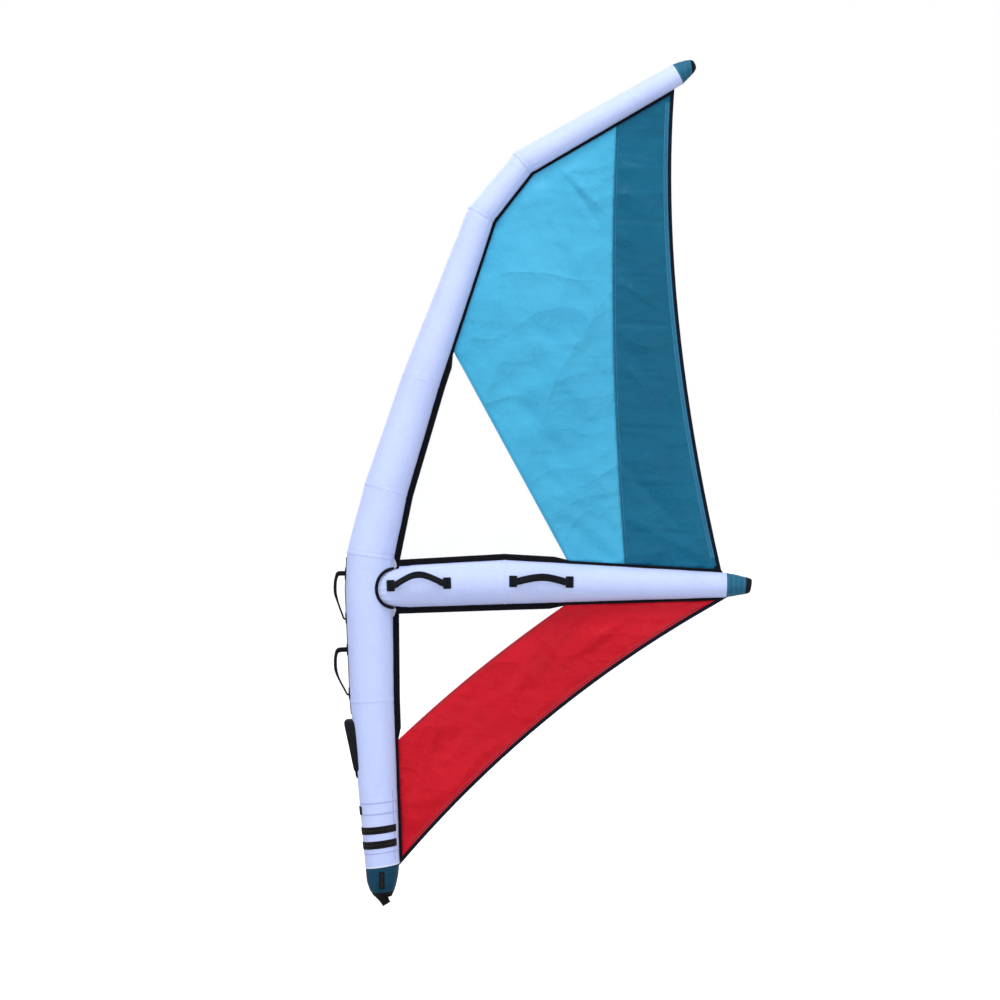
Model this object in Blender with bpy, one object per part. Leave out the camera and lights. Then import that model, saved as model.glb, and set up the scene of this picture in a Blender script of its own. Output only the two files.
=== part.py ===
"""Inflatable windsurf sail rig: an air-filled mast and boom, a sewn sail and a universal mast foot.

Frame: metres, +Z up along the mast, +X aft towards the clew, port side at -Y.
The origin is the centre of the flat face under the mast foot's base disc.
"""
import math

import bmesh
import bpy
from mathutils import Vector

# ---- driving dimensions -------------------------------------------------------------------
GAP = 0.0004            # clearance between pieces that touch on the real rig
SIDES = 32              # facets round the inflated tubes

# mast axis, foot to head: x, z, radius of the inflated tube
MAST = [
    (-0.015, 0.1430, 0.0624),
    (-0.0536, 0.7474, 0.0800),
    (-0.0646, 1.1510, 0.0866),
    (-0.0591, 1.2794, 0.0866),
    (-0.0022, 1.5215, 0.0800),
    (0.1262, 1.9215, 0.0704),
    (0.3464, 2.5305, 0.0521),
    (0.4994, 2.7202, 0.0484),
    (1.0673, 3.0423, 0.0404),
]
MAST_FOOT_SLANT = 0.0095    # the boot's edge rises this much from the tube's middle to its aft side
# boom axis, mast to clew: x, z, half height, half width
BOOM = [
    (-0.0609, 1.1583, 0.0752, 0.0830),
    (0.4344, 1.1803, 0.0807, 0.0807),
    (1.2453, 1.1693, 0.0451, 0.0451),
]
SLEEVE_WALL = 0.0015
BLADDER_WALL = 0.0009
BOOM_BLADDER_START = 0.050
HOSE_RADIUS = 0.012
HOSE_WALL = 0.002

# sail outline curves: x, z of the two ends and of the control point between them
UPPER_LEECH = ((1.0545, 2.9781), (0.9994, 2.2076), (1.2269, 1.2243))
UPPER_SEAM = ((0.8417, 2.8277), (0.8050, 2.1049), (0.8729, 1.2537))
UPPER_WINDOW_EDGE = ((0.2546, 2.0095), (0.4601, 1.6316), (0.6656, 1.2537))
LOWER_WINDOW_EDGE = ((0.0492, 0.6080), (0.3207, 0.8648), (0.6435, 1.0886))
LOWER_LEECH = ((1.1939, 1.0923), (0.5408, 0.7217), (0.0565, 0.1530))
WIDE_TAPE = 0.022           # tape beside the windows
NARROW_TAPE = 0.011         # tape beside the coloured cloth
BINDING_WIDTH = 0.012
CLOTH = 0.0020
FILM = 0.0012
TAPE = 0.0036
BINDING = 0.0044

# webbing handles on the boom: x of the two tabs, height above the boom axis, rise, tilt in degrees
HANDLES = {"front": (0.0182, 0.2235, 0.0077, 0.060, 38.0), "rear": (0.4640, 0.6700, 0.005, 0.055, 19.0)}
TAB_LENGTH, TAB_HEIGHT, TAB_THICKNESS = 0.029, 0.042, 0.003
STRAP_WIDTH, STRAP_THICKNESS = 0.024, 0.007
STRAP_PIVOT_HEIGHT = 0.0065

# uphaul loops on the leading edge: z of the upper and lower ends, reach off the pivot line
UPHAUL_LOOPS = {"upper": (1.2060, 1.0660, 0.032), "lower": (0.9345, 0.7730, 0.030)}
LOOP_WIDTH, LOOP_THICKNESS, LOOP_LIFT = 0.020, 0.007, 0.0110
FRONT_WEBBING = (0.7000, 1.2610)
WEBBING_HALF_ANGLE = 8.0

# inflation valve in the leading edge, and the flap that covers it
VALVE_Z = 0.625
VALVE_RADIUS = 0.018
VALVE_BORE = 0.011
VALVE_PROUD = 0.012
VALVE_DEPTH = 0.016         # how far the valve reaches into the mast
FLANGE_RADIUS = 0.031
FLAP_BOTTOM, FLAP_TOP = 0.4905, 0.6813
FLAP_HALF_WIDTH = 0.042

# webbing bands near the foot: z of the middle and height
FOOT_BANDS = {"upper": (0.2770, 0.0270), "lower": (0.2240, 0.0280)}
BAND_THICKNESS = 0.002
BAND_OPEN_ANGLE = 29.0      # the bands stop this far from the trailing edge

# mast foot: the base leans away from the mast's line by this angle as stored
FOOT_LEAN = math.radians(30.0)
FOOT_UP = Vector((-math.sin(FOOT_LEAN), 0.0, math.cos(FOOT_LEAN)))
FOOT_ACROSS = Vector((math.cos(FOOT_LEAN), 0.0, math.sin(FOOT_LEAN)))
SIDEWAYS = Vector((0.0, 1.0, 0.0))
BASE_DISC = 0.0032
FORK_FLOOR = 0.0070         # up the foot's line from the base face
LOWER_PIVOT = 0.0140
UPPER_PIVOT = 0.0310
SWIVEL_RADIUS = 0.0050
BARREL_RADIUS = 0.0060
EYE_HALF_WIDTH = 0.0070
EAR_THICKNESS = 0.0045
PIN_RADIUS = 0.0025
PIN_HALF_LENGTH = 0.0125


# ---- small helpers ------------------------------------------------------------------------
def material(name, colour, roughness, metallic=0.0, alpha=1.0):
    made = bpy.data.materials.new(name)
    made.use_nodes = True
    shader = made.node_tree.nodes["Principled BSDF"]
    shader.inputs["Base Color"].default_value = (*colour, 1.0)
    shader.inputs["Roughness"].default_value = roughness
    shader.inputs["Metallic"].default_value = metallic
    shader.inputs["Alpha"].default_value = alpha
    return made


def add_object(name, bm, paint, pivot=(0.0, 0.0, 0.0)):
    """Turns the mesh into an object whose origin is the pivot."""
    bmesh.ops.recalc_face_normals(bm, faces=bm.faces)
    bmesh.ops.triangulate(bm, faces=bm.faces)
    bmesh.ops.translate(bm, verts=bm.verts, vec=-Vector(pivot))
    mesh = bpy.data.meshes.new(name)
    bm.to_mesh(mesh)
    bm.free()
    mesh.shade_smooth()
    mesh.set_sharp_from_angle(angle=math.radians(35.0))
    mesh.materials.append(paint)
    made = bpy.data.objects.new(name, mesh)
    made.location = pivot
    bpy.context.scene.collection.objects.link(made)
    return made


def skin(rings, closed=False):
    """Joins rings of points with faces; the ends are capped unless the last ring joins the first."""
    bm = bmesh.new()
    loops = [[bm.verts.new(point) for point in ring] for ring in rings]
    count = len(loops[0])
    pairs = list(zip(loops, loops[1:]))
    if closed:
        pairs.append((loops[-1], loops[0]))
    for low, high in pairs:
        for i in range(count):
            j = (i + 1) % count
            bm.faces.new((low[i], low[j], high[j], high[i]))
    if not closed:
        bm.faces.new(loops[0][::-1])
        bm.faces.new(loops[-1])
    return bm


def hoop(centre, half, side, sides=SIDES):
    """An ellipse of points: half is its half axis in the sail's plane, side its half width in Y."""
    turn = 2.0 * math.pi / sides
    across = Vector((0.0, side, 0.0))
    return [centre + half * math.cos(turn * i) + across * math.sin(turn * i) for i in range(sides)]


def axis_hoops(axis):
    """Centre, half axis and side radius at each point of a bent tube, mitred at the bends."""
    centres = [Vector((point[0], 0.0, point[1])) for point in axis]
    hoops = []
    for i, centre in enumerate(centres):
        before = (centre - centres[max(i - 1, 0)]).normalized()
        after = (centres[min(i + 1, len(centres) - 1)] - centre).normalized()
        along = (before + after).normalized()
        stretch = 1.0 / max(before.dot(along), after.dot(along))
        normal = Vector((along.z, 0.0, -along.x))
        hoops.append((centre, normal * stretch, axis[i][2], axis[i][-1]))
    return hoops


MAST_HOOPS = axis_hoops(MAST)
MAST_HOOPS[0] = (MAST_HOOPS[0][0], Vector((1.0, 0.0, MAST_FOOT_SLANT / MAST[0][2])), MAST[0][2], MAST[0][2])
BOOM_HOOPS = axis_hoops(BOOM)


def grown(hoops, lift):
    return [hoop(centre, unit * (tall + lift), wide + lift) for centre, unit, tall, wide in hoops]


def shifted(hoops, first=0.0, last=0.0):
    """The same tube with its two ends moved along it: positive first trims the start."""
    result = list(hoops)
    for index, other, move in ((0, 1, first), (-1, -2, last)):
        centre, unit, tall, wide = result[index]
        far = result[other]
        share = move / (far[0] - centre).length
        result[index] = (centre.lerp(far[0], share), unit, tall + (far[2] - tall) * share,
                         wide + (far[3] - wide) * share)
    return result


def on_mast(place, angle, lift):
    """A point on the mast: place counts hoops from the foot, angle 0 is aft and 180 the leading edge."""
    index = min(int(place), len(MAST_HOOPS) - 2)
    share = place - index
    turn = math.radians(angle)
    points = []
    for centre, unit, tall, wide in MAST_HOOPS[index:index + 2]:
        points.append(centre + unit * (tall + lift) * math.cos(turn)
                      + Vector((0.0, (wide + lift) * math.sin(turn), 0.0)))
    return points[0].lerp(points[1], share)


def place_at(z):
    """The place along the mast where its axis is at height z."""
    for index in range(len(MAST) - 1):
        low, high = MAST[index][1], MAST[index + 1][1]
        if z <= high:
            return index + (z - low) / (high - low)
    return len(MAST) - 1.0


def disc_rings(centre, normal, profile, sides=24):
    """Rings of a turned shape: profile lists (distance along normal, radius)."""
    normal = normal.normalized()
    turn = normal.to_track_quat("Z", "Y").to_matrix()
    rings = []
    for along, radius in profile:
        rings.append([centre + normal * along + turn @ Vector((
            radius * math.cos(2 * math.pi * i / sides), radius * math.sin(2 * math.pi * i / sides), 0.0))
            for i in range(sides)])
    return rings


def box_points(centre, x_axis, y_axis, z_axis, size):
    """The two end rings of a box about centre, along unit axes."""
    halves = [axis.normalized() * length / 2 for axis, length in zip((x_axis, y_axis, z_axis), size)]
    ring = [(-1, -1), (1, -1), (1, 1), (-1, 1)]
    return [[centre + halves[0] * end + halves[1] * a + halves[2] * b for a, b in ring] for end in (-1, 1)]


def cutter(name, bm):
    made = add_object(name, bm, bpy.data.materials["Cutter"])
    made.hide_render = True
    made.display_type = "WIRE"
    return made


def combine(target, operation, tools):
    for tool in tools:
        modifier = target.modifiers.new(operation + " " + tool.name, "BOOLEAN")
        modifier.operation = operation
        modifier.solver = "EXACT"
        modifier.object = tool


def cut(target, *tools):
    combine(target, "DIFFERENCE", tools)


def unite(target, *tools):
    combine(target, "UNION", tools)


# ---- flat sewn pieces: outlines from crossing curves -----------------------------------------
def bezier(start, control, end, count=20):
    points = []
    for i in range(count + 1):
        t = i / count
        points.append(tuple((1 - t) ** 2 * a + 2 * t * (1 - t) * b + t * t * c
                            for a, b, c in zip(start, control, end)))
    return points


def offset(points, distance):
    """The curve moved sideways, to the right of its direction for a positive distance."""
    flat = [Vector(point) for point in points]
    moved = []
    for i, point in enumerate(flat):
        before = (point - flat[i - 1]).normalized() if i else Vector((0, 0))
        after = (flat[i + 1] - point).normalized() if i + 1 < len(flat) else Vector((0, 0))
        along = (before + after).normalized()
        scale = 1.0 / max(along.dot(before), along.dot(after))
        moved.append(tuple(point + Vector((along.y, -along.x)) * distance * scale))
    return moved


def extended(points, length=0.06):
    first, second = Vector(points[0]), Vector(points[1])
    last, previous = Vector(points[-1]), Vector(points[-2])
    start = first + (first - second).normalized() * length
    end = last + (last - previous).normalized() * length
    return [tuple(start)] + list(points) + [tuple(end)]


def crossing(one, other):
    """Where two curves cross, as a place along each, counted in points."""
    for i in range(len(one) - 1):
        p, r = Vector(one[i]), Vector(one[i + 1]) - Vector(one[i])
        for j in range(len(other) - 1):
            q, s = Vector(other[j]), Vector(other[j + 1]) - Vector(other[j])
            flat = r.cross(s)
            if abs(flat) < 1e-12:
                continue
            t = (q - p).cross(s) / flat
            u = (q - p).cross(r) / flat
            if 0 <= t <= 1 and 0 <= u <= 1:
                return i + t, j + u
    raise ValueError("two edges of a panel don't meet")


def at(curve, place):
    index = min(int(place), len(curve) - 2)
    return Vector(curve[index]).lerp(Vector(curve[index + 1]), place - index)


def outline(*curves):
    """The closed outline between curves, each of which crosses the next one."""
    count = len(curves)
    meets = [crossing(curves[i], curves[(i + 1) % count]) for i in range(count)]
    points = []
    for i, curve in enumerate(curves):
        start, end = meets[i - 1][1], meets[i][0]
        low, high = sorted((start, end))
        inner = [Vector(curve[k]) for k in range(math.ceil(low), int(high) + 1) if low < k < high]
        points.append(at(curve, start))
        points.extend(inner if start < end else inner[::-1])
    return points


def inset(points, distance):
    """The outline pulled inwards by the distance."""
    area = sum(a.x * b.y - b.x * a.y for a, b in zip(points, points[1:] + points[:1]))
    side = 1.0 if area > 0 else -1.0
    moved = []
    for i, point in enumerate(points):
        before = (point - points[i - 1]).normalized()
        after = (points[(i + 1) % len(points)] - point).normalized()
        along = (before + after).normalized()
        inward = Vector((-along.y, along.x)) * side
        moved.append(point + inward * distance / max(along.dot(after), 0.35))
    return moved


def flat_piece(name, paint, thickness, *curves):
    points = inset(outline(*curves), GAP / 2)
    rings = [[Vector((p.x, y, p.y)) for p in points] for y in (-thickness / 2, thickness / 2)]
    return add_object(name, skin(rings), paint)


def mast_edge(first, last, distance):
    """The mast's trailing edge as x, z points between two hoops, stood off by the distance."""
    points = []
    for centre, unit, tall, _ in MAST_HOOPS[first:last + 1]:
        point = centre + unit * (tall + distance)
        points.append((point.x, point.z))
    return extended(points)


def boom_edge(side, distance):
    """The boom's upper (side 1) or lower (side -1) edge as x, z points."""
    points = []
    for centre, unit, tall, _ in BOOM_HOOPS:
        point = centre - unit * (tall + distance) * side
        points.append((point.x, point.z))
    return extended(points, 0.20)


def stepped(wide, narrow, axis, limit, above):
    """A tape's outer edge: wide beside the window, narrow beside the coloured cloth."""
    step = 0.03
    if above:
        return [p for p in wide if p[axis] < limit - step] + [p for p in narrow if p[axis] > limit]
    return [p for p in narrow if p[axis] < limit] + [p for p in wide if p[axis] > limit + step]


def sampled(points, count=40):
    """More points along the straight stretches, so that a tape can change width between them."""
    result = []
    for a, b in zip(points, points[1:]):
        for i in range(count):
            result.append(tuple(Vector(a).lerp(Vector(b), i / count)))
    return result + [points[-1]]


def thinned(points):
    """The same polyline without points that lie on a straight line between their neighbours."""
    kept = [points[0]]
    for i in range(1, len(points) - 1):
        a = Vector(points[i]) - Vector(kept[-1])
        b = Vector(points[i + 1]) - Vector(points[i])
        if abs(a.normalized().cross(b.normalized())) > 1e-4:
            kept.append(points[i])
    return kept + [points[-1]]


def tape_edges():
    """Outer edges of the four tapes, on the cloth side."""
    top = len(MAST) - 1
    upper = stepped(sampled(mast_edge(2, top, WIDE_TAPE)), sampled(mast_edge(2, top, NARROW_TAPE)),
                    1, UPPER_WINDOW_EDGE[0][1], True)
    lower = stepped(sampled(mast_edge(0, 3, WIDE_TAPE)), sampled(mast_edge(0, 3, NARROW_TAPE)),
                    1, LOWER_WINDOW_EDGE[0][1], False)
    over = stepped(sampled(boom_edge(1, WIDE_TAPE)), sampled(boom_edge(1, NARROW_TAPE)),
                   0, UPPER_WINDOW_EDGE[2][0], True)
    under = stepped(sampled(boom_edge(-1, WIDE_TAPE)), sampled(boom_edge(-1, NARROW_TAPE)),
                    0, LOWER_WINDOW_EDGE[2][0], True)
    return [thinned(edge) for edge in (upper, lower, over, under)]


def make_sail(paints):
    top = len(MAST) - 1
    upper, lower, over, under = tape_edges()
    mast_up, mast_low = mast_edge(2, top, GAP / 2), mast_edge(0, 3, GAP / 2)
    boom_up, boom_low = boom_edge(1, GAP / 2), boom_edge(-1, GAP / 2)
    leech = extended(bezier(*UPPER_LEECH))
    leech_in = extended(offset(bezier(*UPPER_LEECH), BINDING_WIDTH))
    foot_leech = extended(bezier(*LOWER_LEECH), 0.12)
    foot_leech_in = extended(offset(bezier(*LOWER_LEECH), BINDING_WIDTH), 0.12)
    seam = extended(bezier(*UPPER_SEAM))
    window = extended(bezier(*UPPER_WINDOW_EDGE, count=1))
    low_window = extended(bezier(*LOWER_WINDOW_EDGE))

    flat_piece("upper_luff_tape", paints["tape"], TAPE, mast_up, leech_in, upper, boom_up)
    flat_piece("boom_top_tape", paints["tape"], TAPE, boom_up, upper, over, leech_in)
    flat_piece("upper_window", paints["film"], FILM, upper, window, over)
    flat_piece("upper_main_panel", paints["blue"], CLOTH, upper, seam, over, window)
    flat_piece("upper_leech_panel", paints["teal"], CLOTH, upper, leech_in, over, seam)
    flat_piece("upper_leech_binding", paints["binding"], BINDING, mast_up, leech, boom_up, leech_in)

    flat_piece("lower_luff_tape", paints["tape"], TAPE, mast_low, boom_low, lower, foot_leech_in)
    flat_piece("boom_bottom_tape", paints["tape"], TAPE, boom_low, lower, under, foot_leech_in)
    flat_piece("lower_window", paints["film"], FILM, lower, low_window, under)
    flat_piece("lower_panel", paints["red"], CLOTH, lower, low_window, under, foot_leech_in)
    flat_piece("lower_leech_binding", paints["binding"], BINDING, mast_low, foot_leech, boom_low,
               foot_leech_in)


# ---- inflated tubes ----------------------------------------------------------------------------
def make_mast(paints):
    outer, inner = grown(MAST_HOOPS, 0.0), grown(MAST_HOOPS, -SLEEVE_WALL)
    sleeve = add_object("mast_sleeve", skin(outer + inner[::-1], closed=True), paints["sleeve"])
    core = shifted(MAST_HOOPS, 0.004, 0.004)
    skin_gap = SLEEVE_WALL + GAP
    wall_out = grown(core, -skin_gap)
    wall_in = grown(shifted(MAST_HOOPS, 0.006, 0.006), -skin_gap - BLADDER_WALL)
    bladder = add_object("mast_bladder", skin(wall_out), paints["bladder"])
    cut(bladder, cutter("mast_air", skin(wall_in)))
    seat, out = valve_frame()
    valve_hole = cutter("valve_hole", skin(disc_rings(
        seat, out, [(-0.03, VALVE_RADIUS + GAP), (0.02, VALVE_RADIUS + GAP)])))
    hose_z = BOOM[0][1] + 0.004
    hose_hole = cutter("hose_hole", skin(disc_rings(
        Vector((0.0, 0.0, hose_z)), Vector((1, 0, 0)),
        [(-0.02, HOSE_RADIUS + GAP), (0.08, HOSE_RADIUS + GAP)])))
    cut(sleeve, valve_hole, hose_hole)
    cut(bladder, valve_hole, hose_hole)
    start, end = -0.004, BOOM_BLADDER_START + 0.014
    hose = skin(disc_rings(Vector((0.0, 0.0, hose_z)), Vector((1, 0, 0)),
                           [(start, HOSE_RADIUS), (end, HOSE_RADIUS), (end, HOSE_RADIUS - HOSE_WALL),
                            (start, HOSE_RADIUS - HOSE_WALL)]), closed=True)
    add_object("transfer_hose", hose, paints["hose"])
    return hose_hole


def make_boom(paints, hose_hole):
    outer, inner = grown(BOOM_HOOPS, 0.0), grown(BOOM_HOOPS, -SLEEVE_WALL)
    sleeve = add_object("boom_sleeve", skin(outer + inner[::-1], closed=True), paints["sleeve"])
    cut(sleeve, cutter("mast_body", skin(grown(MAST_HOOPS[1:5], GAP))))
    start = BOOM_BLADDER_START - BOOM[0][0]
    skin_gap = SLEEVE_WALL + GAP
    wall_out = grown(shifted(BOOM_HOOPS, start, 0.004), -skin_gap)
    wall_in = grown(shifted(BOOM_HOOPS, start + 0.002, 0.006), -skin_gap - BLADDER_WALL)
    bladder = add_object("boom_bladder", skin(wall_out), paints["bladder"])
    cut(bladder, cutter("boom_air", skin(wall_in)), hose_hole)


def piping_path(side, lift, stand_off):
    """Points along the corner between the boom's root and the mast, on one side."""
    points = []
    for i in range(17):
        turn = math.radians(-84.0 + 168.0 * i / 16)
        z = BOOM[0][1] + 0.003 + (BOOM[0][2] + stand_off) * math.sin(turn)
        y = side * (BOOM[0][3] + stand_off) * math.cos(turn)
        place = place_at(z)
        index = int(place)
        share = place - index
        radius = MAST[index][2] * (1 - share) + MAST[index + 1][2] * share + lift
        x = MAST[index][0] * (1 - share) + MAST[index + 1][0] * share
        points.append(Vector((x + math.sqrt(radius ** 2 - y ** 2), y, z)))
    return points


def round_tube(path, radius, sides=8):
    """Rings of a round tube along a path in space."""
    rings = []
    normal = Vector((1.0, 0.0, 0.0))
    for i, point in enumerate(path):
        along = (path[min(i + 1, len(path) - 1)] - path[max(i - 1, 0)]).normalized()
        normal = (normal - along * normal.dot(along)).normalized()
        across = along.cross(normal)
        rings.append([point + (normal * math.cos(2 * math.pi * k / sides)
                               + across * math.sin(2 * math.pi * k / sides)) * radius
                      for k in range(sides)])
    return rings


def make_piping(paints):
    radius = 0.0045
    for label, side in (("port", -1), ("starboard", 1)):
        path = piping_path(side, radius + GAP * 3, radius + GAP * 8)
        add_object("boom_root_piping_" + label, skin(round_tube(path, radius)), paints["tape"])


# ---- end caps ----------------------------------------------------------------------------------
def cap_rings(stations, wall=0.0):
    """Rings for a sewn end cap: stations list x, z, half axis x, half axis z, half width."""
    rings = []
    for x, z, half_x, half_z, wide in stations:
        half = Vector((half_x, 0.0, half_z))
        rings.append(hoop(Vector((x, 0.0, z)), half * (1.0 - wall / half.length), wide - wall))
    return rings


def cup(stations, wall):
    """A sewn cup, open at its first station: the inner skin, then the outer one."""
    inner = cap_rings(stations[:-1], wall)
    outer = cap_rings(stations)
    return skin(inner[::-1] + outer)


def make_caps(paints):
    centre, unit, tall, _ = MAST_HOOPS[-1]
    along = Vector((-unit.z, 0.0, unit.x)).normalized()
    start = centre + along * GAP
    head = [
        (start.x, start.z, unit.x * tall, unit.z * tall, tall),
        (1.0860, 3.0546, 0.0140, -0.0321, 0.0355),
        (1.1025, 3.0633, 0.0095, -0.0293, 0.0315),
        (1.1171, 3.0694, 0.0039, -0.0264, 0.0275),
    ]
    add_object("head_cap", cup(head, 0.002), paints["cap"])
    tip = [
        (1.1180, 3.0694, 0.0038, -0.0262, 0.0272),
        (1.1252, 3.0714, 0.0020, -0.0220, 0.0228),
        (1.1312, 3.0712, 0.0012, -0.0140, 0.0145),
        (1.1350, 3.0705, 0.0006, -0.0062, 0.0065),
    ]
    add_object("head_bumper", skin(cap_rings(tip)), paints["rubber"])

    centre, unit, tall, wide = BOOM_HOOPS[-1]
    clew = [
        (centre.x + GAP, centre.z, unit.x * tall, unit.z * tall, wide),
        (1.2800, 1.1690, -0.0010, -0.0385, 0.0400),
        (1.3160, 1.1671, -0.0018, -0.0313, 0.0340),
    ]
    add_object("clew_cap", cup(clew, 0.002), paints["cap"])
    plate = [(1.3166, 1.1671, -0.0018, -0.0311, 0.0338), (1.3365, 1.1662, -0.0042, -0.0262, 0.0290)]
    add_object("clew_bumper", skin(cap_rings(plate)), paints["rubber"])


# ---- handles and loops ---------------------------------------------------------------------------
def strap_rings(origin, run, rise, across, path, widths, thickness):
    """A flat strap swept along a path in the plane of run and rise, its width along across."""
    corners = [(1.0, 0.3), (0.6, 1.0), (-0.6, 1.0), (-1.0, 0.3), (-1.0, -0.3), (-0.6, -1.0),
               (0.6, -1.0), (1.0, -0.3)]
    rings = []
    for i, (a, b) in enumerate(path):
        low, high = path[max(i - 1, 0)], path[min(i + 1, len(path) - 1)]
        along = (run * (high[0] - low[0]) + rise * (high[1] - low[1])).normalized()
        normal = across.cross(along)
        point = origin + run * a + rise * b
        rings.append([point + across * (u * widths[i] / 2) + normal * (v * thickness / 2)
                      for u, v in corners])
    return rings


def boom_side(x):
    """Half width of the boom at x, and the height of its axis."""
    first, second = (BOOM[0], BOOM[1]) if x < BOOM[1][0] else (BOOM[1], BOOM[2])
    share = (x - first[0]) / (second[0] - first[0])
    return (first[index] + (second[index] - first[index]) * share for index in (3, 1))


def make_handle(label, side, paints):
    front, rear, above, rise_height, tilt = HANDLES[label]
    name = "_".join((label, "handle", "port" if side < 0 else "starboard"))
    ends = []
    for x in (front, rear):
        wide, axis_z = boom_side(x)
        ends.append(Vector((x, side * (wide + 2 * GAP), axis_z + above)))
    run = (ends[1] - ends[0]).normalized()
    up = Vector((0.0, 0.0, 1.0))
    out = up.cross(run).normalized() * side
    up = run.cross(out) * side
    for tab_name, end in (("front", ends[0]), ("rear", ends[1])):
        centre = end + out * (TAB_THICKNESS / 2)
        rings = box_points(centre, run, out, up, (TAB_LENGTH, TAB_THICKNESS, TAB_HEIGHT))
        add_object(name + "_tab_" + tab_name, skin(rings), paints["webbing"])
    pivot = ends[0] + out * (TAB_THICKNESS + STRAP_PIVOT_HEIGHT)
    lean = math.radians(tilt)
    rise = out * math.cos(lean) + up * math.sin(lean)
    across = run.cross(rise)
    length = (ends[1] - ends[0]).length
    count = 16
    path, widths = [], []
    for i in range(count + 1):
        share = i / count
        path.append((length * share, rise_height * (0.5 - 0.5 * math.cos(2 * math.pi * share)) ** 0.8))
        widths.append(0.008 + (STRAP_WIDTH - 0.008) * min(1.0, 5.0 * min(share, 1.0 - share)))
    rings = strap_rings(pivot, run, rise, across, path, widths, STRAP_THICKNESS)
    add_object(name + "_strap", skin(rings), paints["webbing"], pivot)


def make_uphaul_loop(label, paints):
    top, bottom, reach = UPHAUL_LOOPS[label]
    upper, lower = on_mast(place_at(top), 180, LOOP_LIFT), on_mast(place_at(bottom), 180, LOOP_LIFT)
    run = (lower - upper).normalized()
    rise = Vector((run.z, 0.0, -run.x))
    rise = rise if rise.x < 0 else -rise
    length = (lower - upper).length
    path = [(0.0, 0.0), (0.001, 0.010), (0.003, 0.022), (0.010, reach), (0.030, reach + 0.006),
            (length * 0.42, reach + 0.007), (length * 0.60, reach), (length * 0.78, reach * 0.58),
            (length * 0.92, reach * 0.20), (length, 0.0)]
    widths = [0.010, 0.015, LOOP_WIDTH, LOOP_WIDTH, LOOP_WIDTH, LOOP_WIDTH, LOOP_WIDTH, 0.016, 0.011,
              0.008]
    rings = strap_rings(upper, run, rise, SIDEWAYS, path, widths, LOOP_THICKNESS)
    add_object("uphaul_loop_" + label, skin(rings), paints["webbing"], upper)


def band_rings(places, angles, low, high):
    """Four-cornered sections along a strip that lies on the mast."""
    return [[on_mast(place, angle, lift) for place, angle, lift in (
        (places[0], a, low), (places[0], a, high), (places[1], a, high), (places[1], a, low))]
        for a in angles]


def make_mast_trim(paints):
    start, end = place_at(FRONT_WEBBING[0]), place_at(FRONT_WEBBING[1])
    angles = (180.0 - WEBBING_HALF_ANGLE, 180.0 + WEBBING_HALF_ANGLE)
    rings = [[on_mast(place, angles[0], GAP), on_mast(place, 180, GAP), on_mast(place, angles[1], GAP),
              on_mast(place, angles[1], 0.0019), on_mast(place, 180, 0.0019),
              on_mast(place, angles[0], 0.0019)] for place in (start, 1.0, 2.0, end)]
    add_object("front_webbing", skin(rings), paints["webbing"])
    for label, (middle, height) in FOOT_BANDS.items():
        places = (place_at(middle - height / 2), place_at(middle + height / 2))
        span = 360.0 - 2 * BAND_OPEN_ANGLE
        turns = [BAND_OPEN_ANGLE + span * i / 27 for i in range(28)]
        rings = band_rings(places, turns, GAP, BAND_THICKNESS + GAP)
        add_object("foot_band_" + label, skin(rings), paints["webbing"])
    tab = (place_at(0.336), place_at(0.366))
    rings = band_rings(tab, (152.0, 163.0, 174.0, 186.0, 197.0, 208.0), GAP, 0.0030)
    add_object("foot_tab", skin(rings), paints["webbing"])


# ---- inflation valve --------------------------------------------------------------------------
def valve_frame():
    """The valve's seat on the leading edge, and the direction out of the mast there."""
    place = place_at(VALVE_Z)
    along = (on_mast(place + 0.05, 180, 0.0) - on_mast(place - 0.05, 180, 0.0)).normalized()
    return on_mast(place, 180, 0.0), Vector((-along.z, 0.0, along.x))


def make_valve(paints):
    seat, out = valve_frame()
    flange = disc_rings(seat, out, [(GAP, VALVE_RADIUS + GAP), (GAP, FLANGE_RADIUS), (0.0018, FLANGE_RADIUS),
                                    (0.0030, VALVE_RADIUS + GAP)])
    add_object("valve_flange", skin(flange, closed=True), paints["rubber"])
    body = disc_rings(seat, out, [
        (-VALVE_DEPTH, VALVE_RADIUS), (VALVE_PROUD, VALVE_RADIUS), (VALVE_PROUD, VALVE_BORE),
        (-VALVE_DEPTH + 0.003, VALVE_BORE), (-VALVE_DEPTH + 0.003, 0.006), (-VALVE_DEPTH, 0.006)])
    add_object("valve_body", skin(body, closed=True), paints["plastic"])
    plunger = disc_rings(seat, out, [
        (-VALVE_DEPTH - 0.003, 0.0035), (0.000, 0.0035), (0.000, VALVE_BORE - 0.0010),
        (0.0030, VALVE_BORE - 0.0010), (0.0030, 0.0040), (0.0080, 0.0040)])
    add_object("valve_plunger", skin(plunger), paints["plastic"], seat)
    add_object("valve_spring", skin(spring_rings(seat, out)), paints["steel"])
    cap = disc_rings(seat, out, [
        (0.0045, VALVE_RADIUS + 0.0005), (0.0045, VALVE_RADIUS + 0.0030), (0.0140, VALVE_RADIUS + 0.0030),
        (0.0160, VALVE_RADIUS + 0.0010)])
    inside = disc_rings(seat, out, [(0.0128, VALVE_RADIUS + 0.0005)])
    grip = skin(inside + cap)
    add_object("valve_cap", grip, paints["plastic"], seat)


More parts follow.
